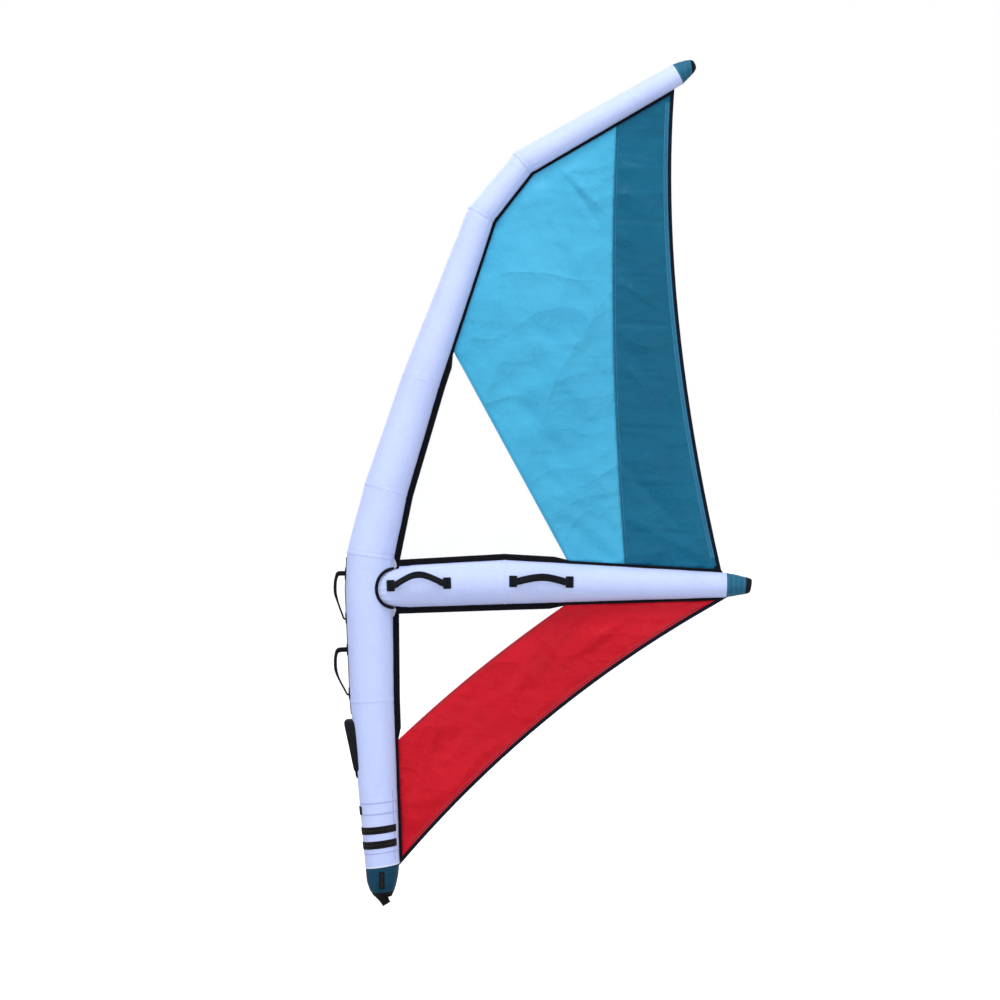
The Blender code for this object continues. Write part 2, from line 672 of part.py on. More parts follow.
def spring_rings(seat, out):
    """The plunger's coil return spring, round its stem."""
    turns, radius, wire, start, end = 3.0, 0.0068, 0.0006, -VALVE_DEPTH + 0.0042, -0.0012
    steps = 36
    path = []
    for i in range(steps + 1):
        share = i / steps
        turn = 2 * math.pi * turns * share
        path.append(seat + out * (start + (end - start) * share)
                    + (SIDEWAYS * math.cos(turn) + out.cross(SIDEWAYS) * math.sin(turn)) * radius)
    return round_tube(path, wire, sides=5)


def make_valve_flap(paints):
    """The padded flap over the valve, a shallow cup sewn to the sleeve along its bottom edge."""
    bottom, top = place_at(FLAP_BOTTOM), place_at(FLAP_TOP)
    pivot = on_mast(bottom, 180, 0.0080)
    stations = [(0.00, 0.0070, 0.70), (0.10, 0.0115, 0.92), (0.45, 0.0190, 1.0), (0.72, 0.0252, 1.0),
                (0.90, 0.0288, 0.94), (0.97, 0.0262, 0.80), (1.00, 0.0215, 0.66)]
    rings = []
    for share, proud, spread in stations:
        place = bottom + (top - bottom) * share
        middle = on_mast(place, 180, 0.0)
        rings.append(flap_section(middle, proud, FLAP_HALF_WIDTH * spread))
    outer = skin(rings)
    flap = add_object("valve_flap", outer, paints["webbing"], pivot)
    hollow = []
    for share, proud, spread in ((0.50, 0.0150, 0.72), (0.60, 0.0190, 0.76), (0.88, 0.0240, 0.72),
                                 (0.93, 0.0212, 0.60)):
        place = bottom + (top - bottom) * share
        middle = on_mast(place, 180, 0.0)
        hollow.append(flap_section(middle, proud, FLAP_HALF_WIDTH * spread, depth=-0.03))
    cut(flap, cutter("flap_hollow", skin(hollow)), cutter("flap_seat", skin(grown(MAST_HOOPS[:4], 0.0023))))


def flap_section(middle, proud, half_width, depth=-0.012):
    """One cross-section of the flap: flat in front, rounded at its two sides."""
    profile = [(depth, 1.0), (proud * 0.45, 1.0), (proud * 0.80, 0.88), (proud, 0.62), (proud, -0.62),
               (proud * 0.80, -0.88), (proud * 0.45, -1.0), (depth, -1.0)]
    return [middle + Vector((-along, share * half_width, 0.0)) for along, share in profile]


# ---- mast foot ------------------------------------------------------------------------------------
def make_boot(paints):
    x, z, tall = MAST[0]
    down = 2 * GAP
    boot = [
        (x, z - down, tall, MAST_FOOT_SLANT, tall),
        (-0.0161, 0.0900, 0.0568, 0.0060, 0.0568),
        (-0.0150, 0.0600, 0.0485, 0.0050, 0.0485),
        (-0.0132, 0.0460, 0.0420, 0.0044, 0.0420),
    ]
    wall = 0.0025
    rings = cap_rings(boot) + cap_rings(boot, wall)[::-1]
    add_object("foot_boot", skin(rings, closed=True), paints["cap"])
    for label, side in (("port", -1), ("starboard", 1)):
        strip = []
        for bx, bz, _, _, wide in ((-0.0153, 0.122, 0, 0, 0.0608), boot[1], (-0.0152, 0.063, 0, 0, 0.0494)):
            near = side * (wide + 0.0006)
            far = side * (wide + 0.0026)
            strip.append([Vector((bx - 0.009, near, bz)), Vector((bx + 0.009, near, bz)),
                          Vector((bx + 0.009, far, bz)), Vector((bx - 0.009, far, bz))])
        add_object("boot_strap_" + label, skin(strip), paints["webbing"])
    rim = [(-0.0132, 0.0452, 0.0415, 0.0044, 0.0415), (-0.0128, 0.0360, 0.0370, 0.0036, 0.0370),
           (-0.0122, 0.0290, 0.0310, 0.0028, 0.0310)]
    hole = [(-0.0125, 0.0290, 0.0235, 0.0022, 0.0235), (-0.0130, 0.0452, 0.0260, 0.0026, 0.0260)]
    add_object("boot_rim", skin(cap_rings(rim + hole), closed=True), paints["rubber"])


def make_mast_foot(paints):
    """A universal joint: boot plug, upper pin, link, lower pin, fork and the base disc it turns on."""
    upper, lower = FOOT_UP * UPPER_PIVOT, FOOT_UP * LOWER_PIVOT
    down = Vector((0.0, 0.0, -1.0))
    pin_bores = [cutter(name, skin(disc_rings(pivot, axis, [(-0.02, PIN_RADIUS + GAP),
                                                            (0.02, PIN_RADIUS + GAP)], 16)))
                 for name, pivot, axis in (("upper_bore", upper, SIDEWAYS), ("lower_bore", lower, FOOT_ACROSS))]
    plug = add_object("foot_plug", skin(cap_rings([
        (-0.0132, 0.0520, 0.0370, 0.0, 0.0370), (-0.0150, 0.0720, 0.0440, 0.0, 0.0440)])), paints["plastic"])
    ears = [cutter(f"plug_ear_{side}", skin(ear_rings(upper, SIDEWAYS * side, -down, 0.0550 - upper.z)))
            for side in (-1, 1)]
    unite(plug, *ears)
    cut(plug, pin_bores[0])

    link = add_object("foot_link", skin(barrel_rings(upper, SIDEWAYS)), paints["urethane"], upper)
    neck = cutter("link_neck", skin(disc_rings(lower, FOOT_UP, [
        (0.0020, 0.0050), (0.0085, 0.0044), (UPPER_PIVOT - LOWER_PIVOT - 0.0020, 0.0050)], 16)))
    unite(link, neck, cutter("link_barrel", skin(barrel_rings(lower, FOOT_ACROSS))))
    cut(link, *pin_bores)

    reach = LOWER_PIVOT - FORK_FLOOR
    fork = add_object("base_fork", skin(disc_rings(Vector(), FOOT_UP, [
        (FORK_FLOOR - 0.0030, 0.0150), (FORK_FLOOR, 0.0150)])), paints["plastic"], lower)
    ears = [cutter(f"fork_ear_{side}", skin(ear_rings(lower, FOOT_ACROSS * side, -FOOT_UP, reach + 0.0010)))
            for side in (-1, 1)]
    unite(fork, *ears)
    stem = SWIVEL_RADIUS + GAP
    cut(fork, pin_bores[1], cutter("swivel_bore", skin(disc_rings(Vector(), FOOT_UP, [
        (0.001, stem), (0.012, stem)]))))
    add_object("base_disc", skin(disc_rings(Vector(), FOOT_UP, [
        (0.0, 0.0165), (0.0006, 0.0172), (BASE_DISC, 0.0172), (BASE_DISC, SWIVEL_RADIUS),
        (FORK_FLOOR - 0.0004, SWIVEL_RADIUS)])), paints["rubber"])
    for name, pivot, axis in (("upper_pivot_pin", upper, SIDEWAYS), ("lower_pivot_pin", lower, FOOT_ACROSS)):
        pin = disc_rings(pivot, axis, [(-PIN_HALF_LENGTH, PIN_RADIUS), (PIN_HALF_LENGTH, PIN_RADIUS)], 16)
        add_object(name, skin(pin), paints["steel"], pivot)


def barrel_rings(pivot, axis):
    return disc_rings(pivot, axis, [(-EYE_HALF_WIDTH, BARREL_RADIUS), (EYE_HALF_WIDTH, BARREL_RADIUS)], 20)


def ear_rings(pivot, out, towards, reach):
    """A rounded lug with its eye on the pivot: half a disc, then straight sides to its root."""
    side = out.cross(towards)
    start, end = EYE_HALF_WIDTH + GAP * 2, EYE_HALF_WIDTH + EAR_THICKNESS
    round_end = [side * (BARREL_RADIUS * math.cos(t)) - towards * (BARREL_RADIUS * math.sin(t))
                 for t in (math.pi * i / 10 for i in range(11))]
    root = [-side * BARREL_RADIUS + towards * reach, side * BARREL_RADIUS + towards * reach]
    return [[pivot + out * distance + point for point in round_end + root] for distance in (start, end)]


def main():
    for existing in list(bpy.data.objects):
        bpy.data.objects.remove(existing, do_unlink=True)
    material("Cutter", (1.0, 0.0, 1.0), 0.5)
    paints = {
        "sleeve": material("White sleeve cloth", (0.62, 0.68, 0.90), 0.55),
        "bladder": material("Bladder film", (0.80, 0.82, 0.80), 0.30),
        "hose": material("Hose", (0.55, 0.57, 0.60), 0.45),
        "cap": material("Teal cap cloth", (0.020, 0.110, 0.160), 0.60),
        "rubber": material("Black rubber", (0.010, 0.010, 0.012), 0.70),
        "webbing": material("Black webbing", (0.011, 0.013, 0.017), 0.80),
        "tape": material("Black tape", (0.006, 0.006, 0.010), 0.75),
        "binding": material("Navy binding", (0.008, 0.011, 0.026), 0.75),
        "blue": material("Light blue sailcloth", (0.080, 0.420, 0.620), 0.45),
        "teal": material("Teal sailcloth", (0.013, 0.127, 0.220), 0.45),
        "red": material("Red sailcloth", (0.560, 0.014, 0.030), 0.45),
        "film": material("Clear window film", (0.95, 0.97, 1.0), 0.05, alpha=0.2),
        "plastic": material("Black plastic", (0.015, 0.015, 0.017), 0.40),
        "steel": material("Steel", (0.60, 0.60, 0.62), 0.25, metallic=1.0),
        "urethane": material("Urethane", (0.030, 0.030, 0.032), 0.35),
    }
    hose_hole = make_mast(paints)
    make_boom(paints, hose_hole)
    make_piping(paints)
    make_sail(paints)
    make_caps(paints)
    for label in HANDLES:
        for side in (-1, 1):
            make_handle(label, side, paints)
    for label in UPHAUL_LOOPS:
        make_uphaul_loop(label, paints)
    make_mast_trim(paints)
    make_valve(paints)
    make_valve_flap(paints)
    make_boot(paints)
    make_mast_foot(paints)


main()
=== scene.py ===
"""Looks of the inflatable windsurf sail rig: sewn sleeves, sailcloth, film windows, webbing and fittings."""
import math

import bmesh
import bpy
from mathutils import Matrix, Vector, geometry, kdtree, noise


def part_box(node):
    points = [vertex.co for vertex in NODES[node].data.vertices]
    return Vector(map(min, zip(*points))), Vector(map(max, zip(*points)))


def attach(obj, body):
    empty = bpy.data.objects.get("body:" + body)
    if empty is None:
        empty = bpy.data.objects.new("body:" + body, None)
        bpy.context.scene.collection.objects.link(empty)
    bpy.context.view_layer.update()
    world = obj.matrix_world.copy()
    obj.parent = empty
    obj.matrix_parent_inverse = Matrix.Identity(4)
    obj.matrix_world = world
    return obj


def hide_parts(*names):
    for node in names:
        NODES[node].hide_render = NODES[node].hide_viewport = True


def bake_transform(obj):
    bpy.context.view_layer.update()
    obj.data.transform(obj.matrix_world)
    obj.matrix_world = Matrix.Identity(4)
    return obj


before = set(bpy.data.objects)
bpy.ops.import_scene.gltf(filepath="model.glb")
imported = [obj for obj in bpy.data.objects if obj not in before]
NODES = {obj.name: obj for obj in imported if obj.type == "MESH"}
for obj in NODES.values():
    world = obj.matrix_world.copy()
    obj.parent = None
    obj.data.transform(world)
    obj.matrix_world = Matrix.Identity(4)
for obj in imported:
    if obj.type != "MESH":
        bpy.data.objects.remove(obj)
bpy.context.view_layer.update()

# ---- driving dimensions, as in the CAD model (metres) ------------------------------------------
MAST = [
    (-0.015, 0.1430, 0.0624), (-0.0536, 0.7474, 0.0800), (-0.0646, 1.1510, 0.0866),
    (-0.0591, 1.2794, 0.0866), (-0.0022, 1.5215, 0.0800), (0.1262, 1.9215, 0.0704),
    (0.3464, 2.5305, 0.0521), (0.4994, 2.7202, 0.0484), (1.0673, 3.0423, 0.0404),
]
MAST_FOOT_SLANT = 0.0095
MAST_SEAMS = (1, 3, 4, 5, 6, 7)
FOOT_SEAM_HEIGHTS = (0.376, 0.336, 0.193)
SLEEVE_WALL = 0.0015
TUBE_SIDES, TUBE_STEP = 112, 0.008
BOOM = [
    (-0.0609, 1.1583, 0.0752, 0.0830), (0.4344, 1.1803, 0.0807, 0.0807),
    (1.2453, 1.1693, 0.0451, 0.0451),
]
UPPER_LEECH = ((1.0545, 2.9781), (0.9994, 2.2076), (1.2269, 1.2243))
LOWER_LEECH = ((1.1939, 1.0923), (0.5408, 0.7217), (0.0565, 0.1530))
UPPER_SEAM = ((0.8417, 2.8277), (0.8050, 2.1049), (0.8729, 1.2537))
UPPER_WINDOW_EDGE = ((0.2546, 2.0095), (0.4601, 1.6316), (0.6656, 1.2537))
LOWER_WINDOW_EDGE = ((0.0492, 0.6080), (0.3207, 0.8648), (0.6435, 1.0886))
CAMERA_LENS = 100.0
SENSOR = 36.0
PICTURE_WIDTH = 3.669
PICTURE_CENTRE = (0.4161, 1.4812)
# Each light: name, place, size and power.
LIGHTS = (("key", (0.0, -3.8, 8.4), 3.0, 300.0), ("fill", (4.6, -7.5, 1.4), 4.0, 170.0),
          ("back", (-3.0, 6.0, 6.5), 4.0, 260.0), ("side", (-5.5, -5.5, 2.0), 3.5, 110.0))
LIGHT_AIM = Vector((0.4, 0.0, 1.5))
ROOT_MIDDLE_Z, ROOT_HALF_HEIGHT, ROOT_END_X, ROOT_LENGTH = 1.1590, 0.0672, 0.0285, 0.0580
HANDLES = {"front": (0.0182, 0.2235, 0.0077, 0.060, 38.0), "rear": (0.4640, 0.6700, 0.005, 0.055, 19.0)}
TAB_LENGTH, TAB_HEIGHT, TAB_THICKNESS = 0.029, 0.042, 0.003
STRAP_WIDTH, STRAP_THICKNESS, STRAP_PIVOT_HEIGHT = 0.0285, 0.0080, 0.0065
UPHAUL_LOOPS = {"upper": (1.2060, 1.0660, 0.0225, 1.0490), "lower": (0.9345, 0.7730, 0.030, 0.7745)}
LOOP_LIFT = 0.0110
FRONT_WEBBING = (0.7000, 1.2610)
BOOT_OPENING = 0.90
FLAP_BOTTOM, FLAP_TOP, FLAP_HALF_WIDTH = 0.4905, 0.6813, 0.042
FOOT_BANDS = {"upper": (0.2770, 0.0270), "lower": (0.2240, 0.0280)}
HEAD_CAP = [(1.0860, 3.0546, 0.0140, -0.0321, 0.0355), (1.1025, 3.0633, 0.0095, -0.0293, 0.0315),
            (1.1171, 3.0694, 0.0039, -0.0264, 0.0275)]
HEAD_TIP = [(1.1180, 3.0694, 0.0038, -0.0262, 0.0272), (1.1252, 3.0714, 0.0020, -0.0220, 0.0228),
            (1.1312, 3.0712, 0.0012, -0.0140, 0.0145), (1.1350, 3.0705, 0.0006, -0.0062, 0.0065)]
CLEW_CAP = [(1.2800, 1.1690, -0.0010, -0.0385, 0.0400), (1.3160, 1.1671, -0.0018, -0.0313, 0.0340)]
CLEW_TIP = [(1.3166, 1.1671, -0.0018, -0.0311, 0.0338), (1.3365, 1.1662, -0.0042, -0.0262, 0.0290)]
BOOT = [(-0.0161, 0.0900, 0.0568, 0.0060, 0.0568), (-0.0150, 0.0600, 0.0485, 0.0050, 0.0485),
        (-0.0132, 0.0460, 0.0420, 0.0044, 0.0420)]
SIDEWAYS, UPWARDS = Vector((0.0, 1.0, 0.0)), Vector((0.0, 0.0, 1.0))
# Each kind of stitching: pitch, length and thread radius.
STITCHING = {
    "seam": (0.0050, 0.0036, 0.00045), "tape": (0.0055, 0.0038, 0.0004), "sail": (0.0060, 0.0042, 0.00045),
    "patch": (0.0036, 0.0026, 0.0004), "strap": (0.0045, 0.0032, 0.0004), "webbing": (0.0050, 0.0034, 0.00045),
    "band": (0.0050, 0.0034, 0.0006), "cap": (0.0045, 0.0032, 0.00045), "boot": (0.0042, 0.0030, 0.0005),
    "flap": (0.0046, 0.0034, 0.00045),
}


# ---- procedural materials -----------------------------------------------------------------------
def srgb(red, green, blue):
    """Linear colour of a display colour given in 0 to 255."""
    def linear(value):
        value /= 255.0
        return value / 12.92 if value <= 0.04045 else ((value + 0.055) / 1.055) ** 2.4
    return (linear(red), linear(green), linear(blue))


class Finish:
    """A Principled material built up from a few layers of procedural colour and bump."""

    def __init__(self, name, colour, roughness, uv=True, **values):
        self.material = bpy.data.materials.new(name)
        self.material.use_nodes = True
        self.tree = self.material.node_tree
        self.shader = self.tree.nodes["Principled BSDF"]
        self.shader.inputs["Base Color"].default_value = (*colour, 1.0)
        self.shader.inputs["Roughness"].default_value = roughness
        for socket, value in values.items():
            self.shader.inputs[socket.replace("_", " ")].default_value = value
        where = self.tree.nodes.new("ShaderNodeTexCoord")
        self.place = where.outputs["UV" if uv else "Object"]
        self.colour = None
        self.base = colour
        self.height = None

    def node(self, kind, **settings):
        made = self.tree.nodes.new(kind)
        for key, value in settings.items():
            setattr(made, key, value)
        return made

    def link(self, start, end):
        self.tree.links.new(start, end)

    def mapped(self, scale=(1.0, 1.0, 1.0), turn=0.0):
        mapping = self.node("ShaderNodeMapping")
        mapping.inputs["Scale"].default_value = scale
        mapping.inputs["Rotation"].default_value = (0.0, 0.0, turn)
        self.link(self.place, mapping.inputs["Vector"])
        return mapping.outputs["Vector"]

    def noise(self, scale, detail=3.0, stretch=(1.0, 1.0, 1.0), turn=0.0):
        made = self.node("ShaderNodeTexNoise")
        made.inputs["Scale"].default_value = scale
        made.inputs["Detail"].default_value = detail
        self.link(self.mapped(stretch, turn), made.inputs["Vector"])
        return made.outputs["Fac"]

    def folds(self, scale, turn, stretch=2.4):
        """Creases that run mostly one way, each with a flat slope on either side."""
        mapping = self.node("ShaderNodeMapping", vector_type="TEXTURE")
        mapping.inputs["Scale"].default_value = (stretch, 1.0, 1.0)
        mapping.inputs["Rotation"].default_value = (0.0, 0.0, turn)
        self.link(self.place, mapping.inputs["Vector"])
        made = self.node("ShaderNodeTexNoise", noise_type="RIDGED_MULTIFRACTAL")
        for socket, value in (
                ("Scale", scale), ("Detail", 1.0), ("Offset", 1.0), ("Gain", 1.0), ("Distortion", 0.25)):
            made.inputs[socket].default_value = value
        self.link(mapping.outputs["Vector"], made.inputs["Vector"])
        return made.outputs["Fac"]

    def waves(self, scale, direction, turn=0.0, distortion=0.0):
        made = self.node("ShaderNodeTexWave", bands_direction=direction)
        made.inputs["Scale"].default_value = scale
        made.inputs["Distortion"].default_value = distortion
        self.link(self.mapped(turn=turn), made.inputs["Vector"])
        return made.outputs["Fac"]

    def tint(self, factor, other, low=0.35, high=0.65, strength=1.0):
        """Mixes another colour in where the factor is high."""
        ramp = self.node("ShaderNodeMapRange")
        ramp.inputs["From Min"].default_value = low
        ramp.inputs["From Max"].default_value = high
        ramp.inputs["To Max"].default_value = strength
        self.link(factor, ramp.inputs["Value"])
        mix = self.node("ShaderNodeMix", data_type="RGBA")
        self.link(ramp.outputs["Result"], mix.inputs["Factor"])
        if self.colour is None:
            mix.inputs[6].default_value = (*self.base, 1.0)
        else:
            self.link(self.colour, mix.inputs[6])
        mix.inputs[7].default_value = (*other, 1.0)
        self.colour = mix.outputs[2]
        self.link(self.colour, self.shader.inputs["Base Color"])
        return self

    def bump(self, factor, distance, strength=1.0):
        made = self.node("ShaderNodeBump")
        made.inputs["Strength"].default_value = strength
        made.inputs["Distance"].default_value = distance
        self.link(factor, made.inputs["Height"])
        if self.height is not None:
            self.link(self.height, made.inputs["Normal"])
        self.height = made.outputs["Normal"]
        self.link(self.height, self.shader.inputs["Normal"])
        return self

    def rough(self, factor, low, high):
        ramp = self.node("ShaderNodeMapRange")
        ramp.inputs["To Min"].default_value = low
        ramp.inputs["To Max"].default_value = high
        self.link(factor, ramp.inputs["Value"])
        self.link(ramp.outputs["Result"], self.shader.inputs["Roughness"])
        return self

    def weave(self, pitch, depth, turn=0.0):
        """Crossing threads, pitch metres apart."""
        scale = 1.0 / pitch / 2.0
        self.bump(self.waves(scale, "X", turn), depth, 0.5)
        return self.bump(self.waves(scale, "Y", turn), depth, 0.5)


def darker(colour, share):
    return tuple(channel * share for channel in colour)


def sleeve_finish(name, base):
    made = Finish(name, base, 0.52, Sheen_Weight=0.05, Sheen_Roughness=0.4, Specular_IOR_Level=0.2)
    made.tint(made.noise(5.0, 4.0), tuple(c * s for c, s in zip(base, (0.89, 0.90, 0.97))), 0.35, 0.75, 0.8)
    made.tint(made.noise(60.0, 2.0), tuple(min(1.0, c * 1.06) for c in base), 0.4, 0.8, 0.5)
    made.weave(0.0016, 0.00012)
    made.bump(made.noise(14.0, 5.0), 0.0016, 0.35)
    return made.rough(made.noise(25.0, 3.0), 0.44, 0.60).material


def sailcloth_finish(name, base, light, dark, turn, fold=0.0):
    made = Finish(name, base, 0.42, Sheen_Weight=0.02, Sheen_Roughness=0.35, Specular_IOR_Level=0.14)
    made.tint(made.noise(2.2, 5.0, (1.0, 0.45, 1.0), turn), light, 0.42, 0.72, 0.75)
    made.tint(made.noise(3.4, 4.0, (0.5, 1.3, 1.0), turn), dark, 0.48, 0.80, 0.65)
    made.tint(made.noise(180.0, 2.0), darker(base, 0.86), 0.45, 0.85, 0.6)
    made.weave(0.0014, 0.00010, 0.0)
    made.bump(made.waves(1.0 / 0.009 / 2.0, "X"), 0.00014, 0.25)
    made.bump(made.waves(1.0 / 0.009 / 2.0, "Y"), 0.00014, 0.25)
    made.bump(made.noise(8.0, 6.0, (0.35, 1.0, 1.0), turn), 0.030, 0.55)
    made.bump(made.noise(24.0, 5.0, (1.0, 0.5, 1.0), -turn), 0.009, 0.50)
    if fold:
        made.bump(made.folds(2.6, fold), 0.015, 0.8)
        made.bump(made.folds(7.0, fold - 0.5, 1.8), 0.0060, 0.8)
        made.bump(made.folds(15.0, fold + 0.9, 1.5), 0.0020, 0.8)
    return made.rough(made.noise(7.0, 4.0), 0.34, 0.52).material


def webbing_finish(name, base, rib=0.0022, uv=True):
    made = Finish(name, base, 0.78, uv=uv, Sheen_Weight=0.03, Sheen_Roughness=0.5, Specular_IOR_Level=0.12)
    made.tint(made.noise(90.0, 3.0), tuple(c * 2.4 + 0.004 for c in base), 0.5, 0.8, 0.7)
    made.bump(made.waves(1.0 / rib / 2.0, "Y", distortion=0.3), 0.0005, 0.7)
    made.bump(made.waves(1.0 / rib, "DIAGONAL"), 0.00025, 0.6)
    return made.rough(made.noise(40.0, 3.0), 0.66, 0.88).material


def rubber_finish(name, base, roughness=0.6, uv=False, gloss=0.18):
    made = Finish(name, base, roughness, uv=uv, Specular_IOR_Level=gloss)
    made.tint(made.noise(30.0, 4.0), tuple(c * 1.9 + 0.004 for c in base), 0.5, 0.8, 0.8)
    made.bump(made.noise(900.0, 3.0), 0.00018, 0.6)
    made.bump(made.noise(45.0, 3.0), 0.0006, 0.3)
    return made.rough(made.noise(60.0, 3.0), roughness - 0.12, roughness + 0.12).material


def film_finish():
    made = Finish("window_film", (0.93, 0.96, 1.0), 0.06, Alpha=0.10, IOR=1.45, Coat_Weight=0.3)
    made.bump(made.noise(3.0, 4.0, (0.5, 1.2, 1.0), 0.6), 0.010, 0.25)
    made.tint(made.noise(6.0, 3.0), (0.98, 0.99, 1.0), 0.4, 0.8, 0.8)
    return made.rough(made.noise(12.0, 3.0), 0.04, 0.12).material


def steel_finish():
    made = Finish("steel", (0.62, 0.62, 0.64), 0.28, uv=False, Metallic=1.0)
    made.tint(made.noise(120.0, 3.0), (0.50, 0.50, 0.53), 0.4, 0.8, 0.7)
    made.bump(made.noise(600.0, 2.0, (1.0, 0.1, 1.0)), 0.0001, 0.4)
    return made.rough(made.noise(80.0, 2.0), 0.20, 0.38).material


BLUE, TEAL, RED = srgb(66, 169, 208), srgb(8, 92, 122), srgb(200, 14, 34)
CAP_TEAL, BOOT_TEAL = srgb(34, 98, 128), srgb(10, 64, 90)
FINISHES = {
    "sleeve": sleeve_finish("sleeve_white", srgb(198, 211, 254)),
    "sleeve_seam": sleeve_finish("sleeve_seam", srgb(168, 181, 232)),
    "blue": sailcloth_finish("sail_blue", BLUE, srgb(84, 184, 222), srgb(56, 154, 194), 0.9, 0.85),
    "teal": sailcloth_finish("sail_teal", TEAL, srgb(18, 108, 142), srgb(6, 76, 104), 0.1, -0.30),
    "red": sailcloth_finish("sail_red", RED, srgb(214, 24, 46), srgb(180, 12, 30), 0.7, 1.00),
    "blue_hem": sailcloth_finish("sail_blue_hem", srgb(60, 160, 200), srgb(68, 168, 208), srgb(52, 146, 186), 0.9),
    "teal_hem": sailcloth_finish("sail_teal_hem", srgb(33, 106, 138), srgb(40, 116, 150), srgb(26, 92, 122), 0.1),
    "red_hem": sailcloth_finish("sail_red_hem", srgb(172, 24, 40), srgb(184, 30, 46), srgb(150, 20, 34), 0.7),
    "cap": sailcloth_finish("cap_teal", CAP_TEAL, srgb(58, 130, 164), srgb(14, 66, 92), 0.4),
    "boot": sailcloth_finish("boot_teal", BOOT_TEAL, srgb(18, 82, 112), srgb(8, 44, 66), 0.4),
    "tape": webbing_finish("tape_black", srgb(7, 7, 14)),
    "binding": webbing_finish("binding_navy", srgb(12, 15, 34), 0.0018),
    "webbing": webbing_finish("webbing_black", srgb(12, 14, 20), 0.0024),
    "neoprene": rubber_finish("neoprene", srgb(12, 14, 20), 0.72),
    "rubber": rubber_finish("rubber_black", srgb(9, 9, 12), 0.62),
    "plastic": rubber_finish("plastic_black", srgb(14, 14, 17), 0.42, gloss=0.35),
    "urethane": rubber_finish("urethane", srgb(26, 26, 29), 0.35, gloss=0.35),
    "bladder": rubber_finish("bladder_film", srgb(194, 207, 252), 0.50),
    "hose": rubber_finish("hose_grey", srgb(150, 155, 160), 0.45),
    "film": film_finish(),
    "steel": steel_finish(),
    "thread_white": rubber_finish("thread_white", srgb(214, 222, 250), 0.7),
    "thread_dark": rubber_finish("thread_dark", srgb(34, 37, 50), 0.7),
    "thread_teal": rubber_finish("thread_teal", srgb(96, 168, 196), 0.7),
    "thread_boot": rubber_finish("thread_boot", srgb(48, 104, 132), 0.7),
    "thread_red": rubber_finish("thread_red", srgb(226, 88, 96), 0.7),
    "thread_brown": rubber_finish("thread_brown", srgb(70, 54, 50), 0.7),
    "brown": webbing_finish("webbing_brown", srgb(46, 36, 40), 0.0024),
    "edge": sailcloth_finish("boot_edge", srgb(216, 226, 246), srgb(228, 236, 252), srgb(170, 190, 220), 0.0),
    "clear": rubber_finish("gusset_grey", srgb(176, 180, 184), 0.25, gloss=0.5),
}


# ---- mesh helpers --------------------------------------------------------------------------------
def add_mesh(name, points, faces, finish, uvs=None, sharp=40.0):
    mesh = bpy.data.meshes.new(name)
    mesh.from_pydata([tuple(p) for p in points], [], faces)
    if uvs is not None:
        layer = mesh.uv_layers.new(name="UVMap")
        for loop in mesh.loops:
            layer.data[loop.index].uv = uvs[loop.vertex_index]
    mesh.validate()
    mesh.shade_smooth()
    mesh.set_sharp_from_angle(angle=math.radians(sharp))
    mesh.materials.append(FINISHES[finish])
    made = bpy.data.objects.new(name, mesh)
    bpy.context.scene.collection.objects.link(made)
    return made


def loft(name, rings, finish, caps=(False, False), around=True, sharp=40.0):
    """A skin over rings of points, with texture coordinates in metres."""
    count = len(rings[0])
    columns = count if around else count - 1
    points, uvs, faces = [], [], []
    along = 0.0
    for index, ring in enumerate(rings):
        if index:
            along += (ring[0] - rings[index - 1][0]).length
        travelled = 0.0
        for k, point in enumerate(ring):
            if k:
                travelled += (point - ring[k - 1]).length
            points.append(point)
            uvs.append((travelled, along))
    for row in range(len(rings) - 1):
        for k in range(columns):
            j = (k + 1) % count
            a, b = row * count + k, row * count + j
            faces.append((a, b, b + count, a + count))
    if caps[0]:
        faces.append(tuple(range(count))[::-1])
    if caps[1]:
        last = (len(rings) - 1) * count
        faces.append(tuple(last + k for k in range(count)))
    made = add_mesh(name, points, faces, finish, uvs, sharp)
    outward(made)
    return made


def outward(made):
    bm = bmesh.new()
    bm.from_mesh(made.data)
    bmesh.ops.recalc_face_normals(bm, faces=bm.faces)
    bm.to_mesh(made.data)
    bm.free()


def piece(made, slot, *replaced, body="rig"):
    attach(made, body)
    if replaced:
        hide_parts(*replaced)
    return made


def bridge(made, slot, bodies, start, end, *replaced):
    """A piece that reaches from one body to the next: this only hides the nodes it replaces and bakes its
    transform, and attaches it to no body.
    """
    if replaced:
        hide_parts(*replaced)
    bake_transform(made)


def direction(path, i):
    """The way a path runs at one of its points."""
    return (path[min(i + 1, len(path) - 1)] - path[max(i - 1, 0)]).normalized()


def fan(middle, reach, count):
    """Even steps from middle - reach to middle + reach."""
    return [middle - reach + 2 * reach * i / (count - 1) for i in range(count)]


def bezier(start, control, end, count=60):
    points = []
    for i in range(count + 1):
        t = i / count
        points.append(Vector(tuple((1 - t) ** 2 * a + 2 * t * (1 - t) * b + t * t * c
                                   for a, b, c in zip(start, control, end))))
    return points


def resampled(points, spacing, closed=False):
    """The polyline with a point about every spacing metres, corners kept."""
    result = []
    pairs = list(zip(points, points[1:] + (points[:1] if closed else [])))
    for a, b in pairs:
        steps = max(1, round((b - a).length / spacing))
        result += [a.lerp(b, i / steps) for i in range(steps)]
    if not closed:
        result.append(points[-1])
    return result


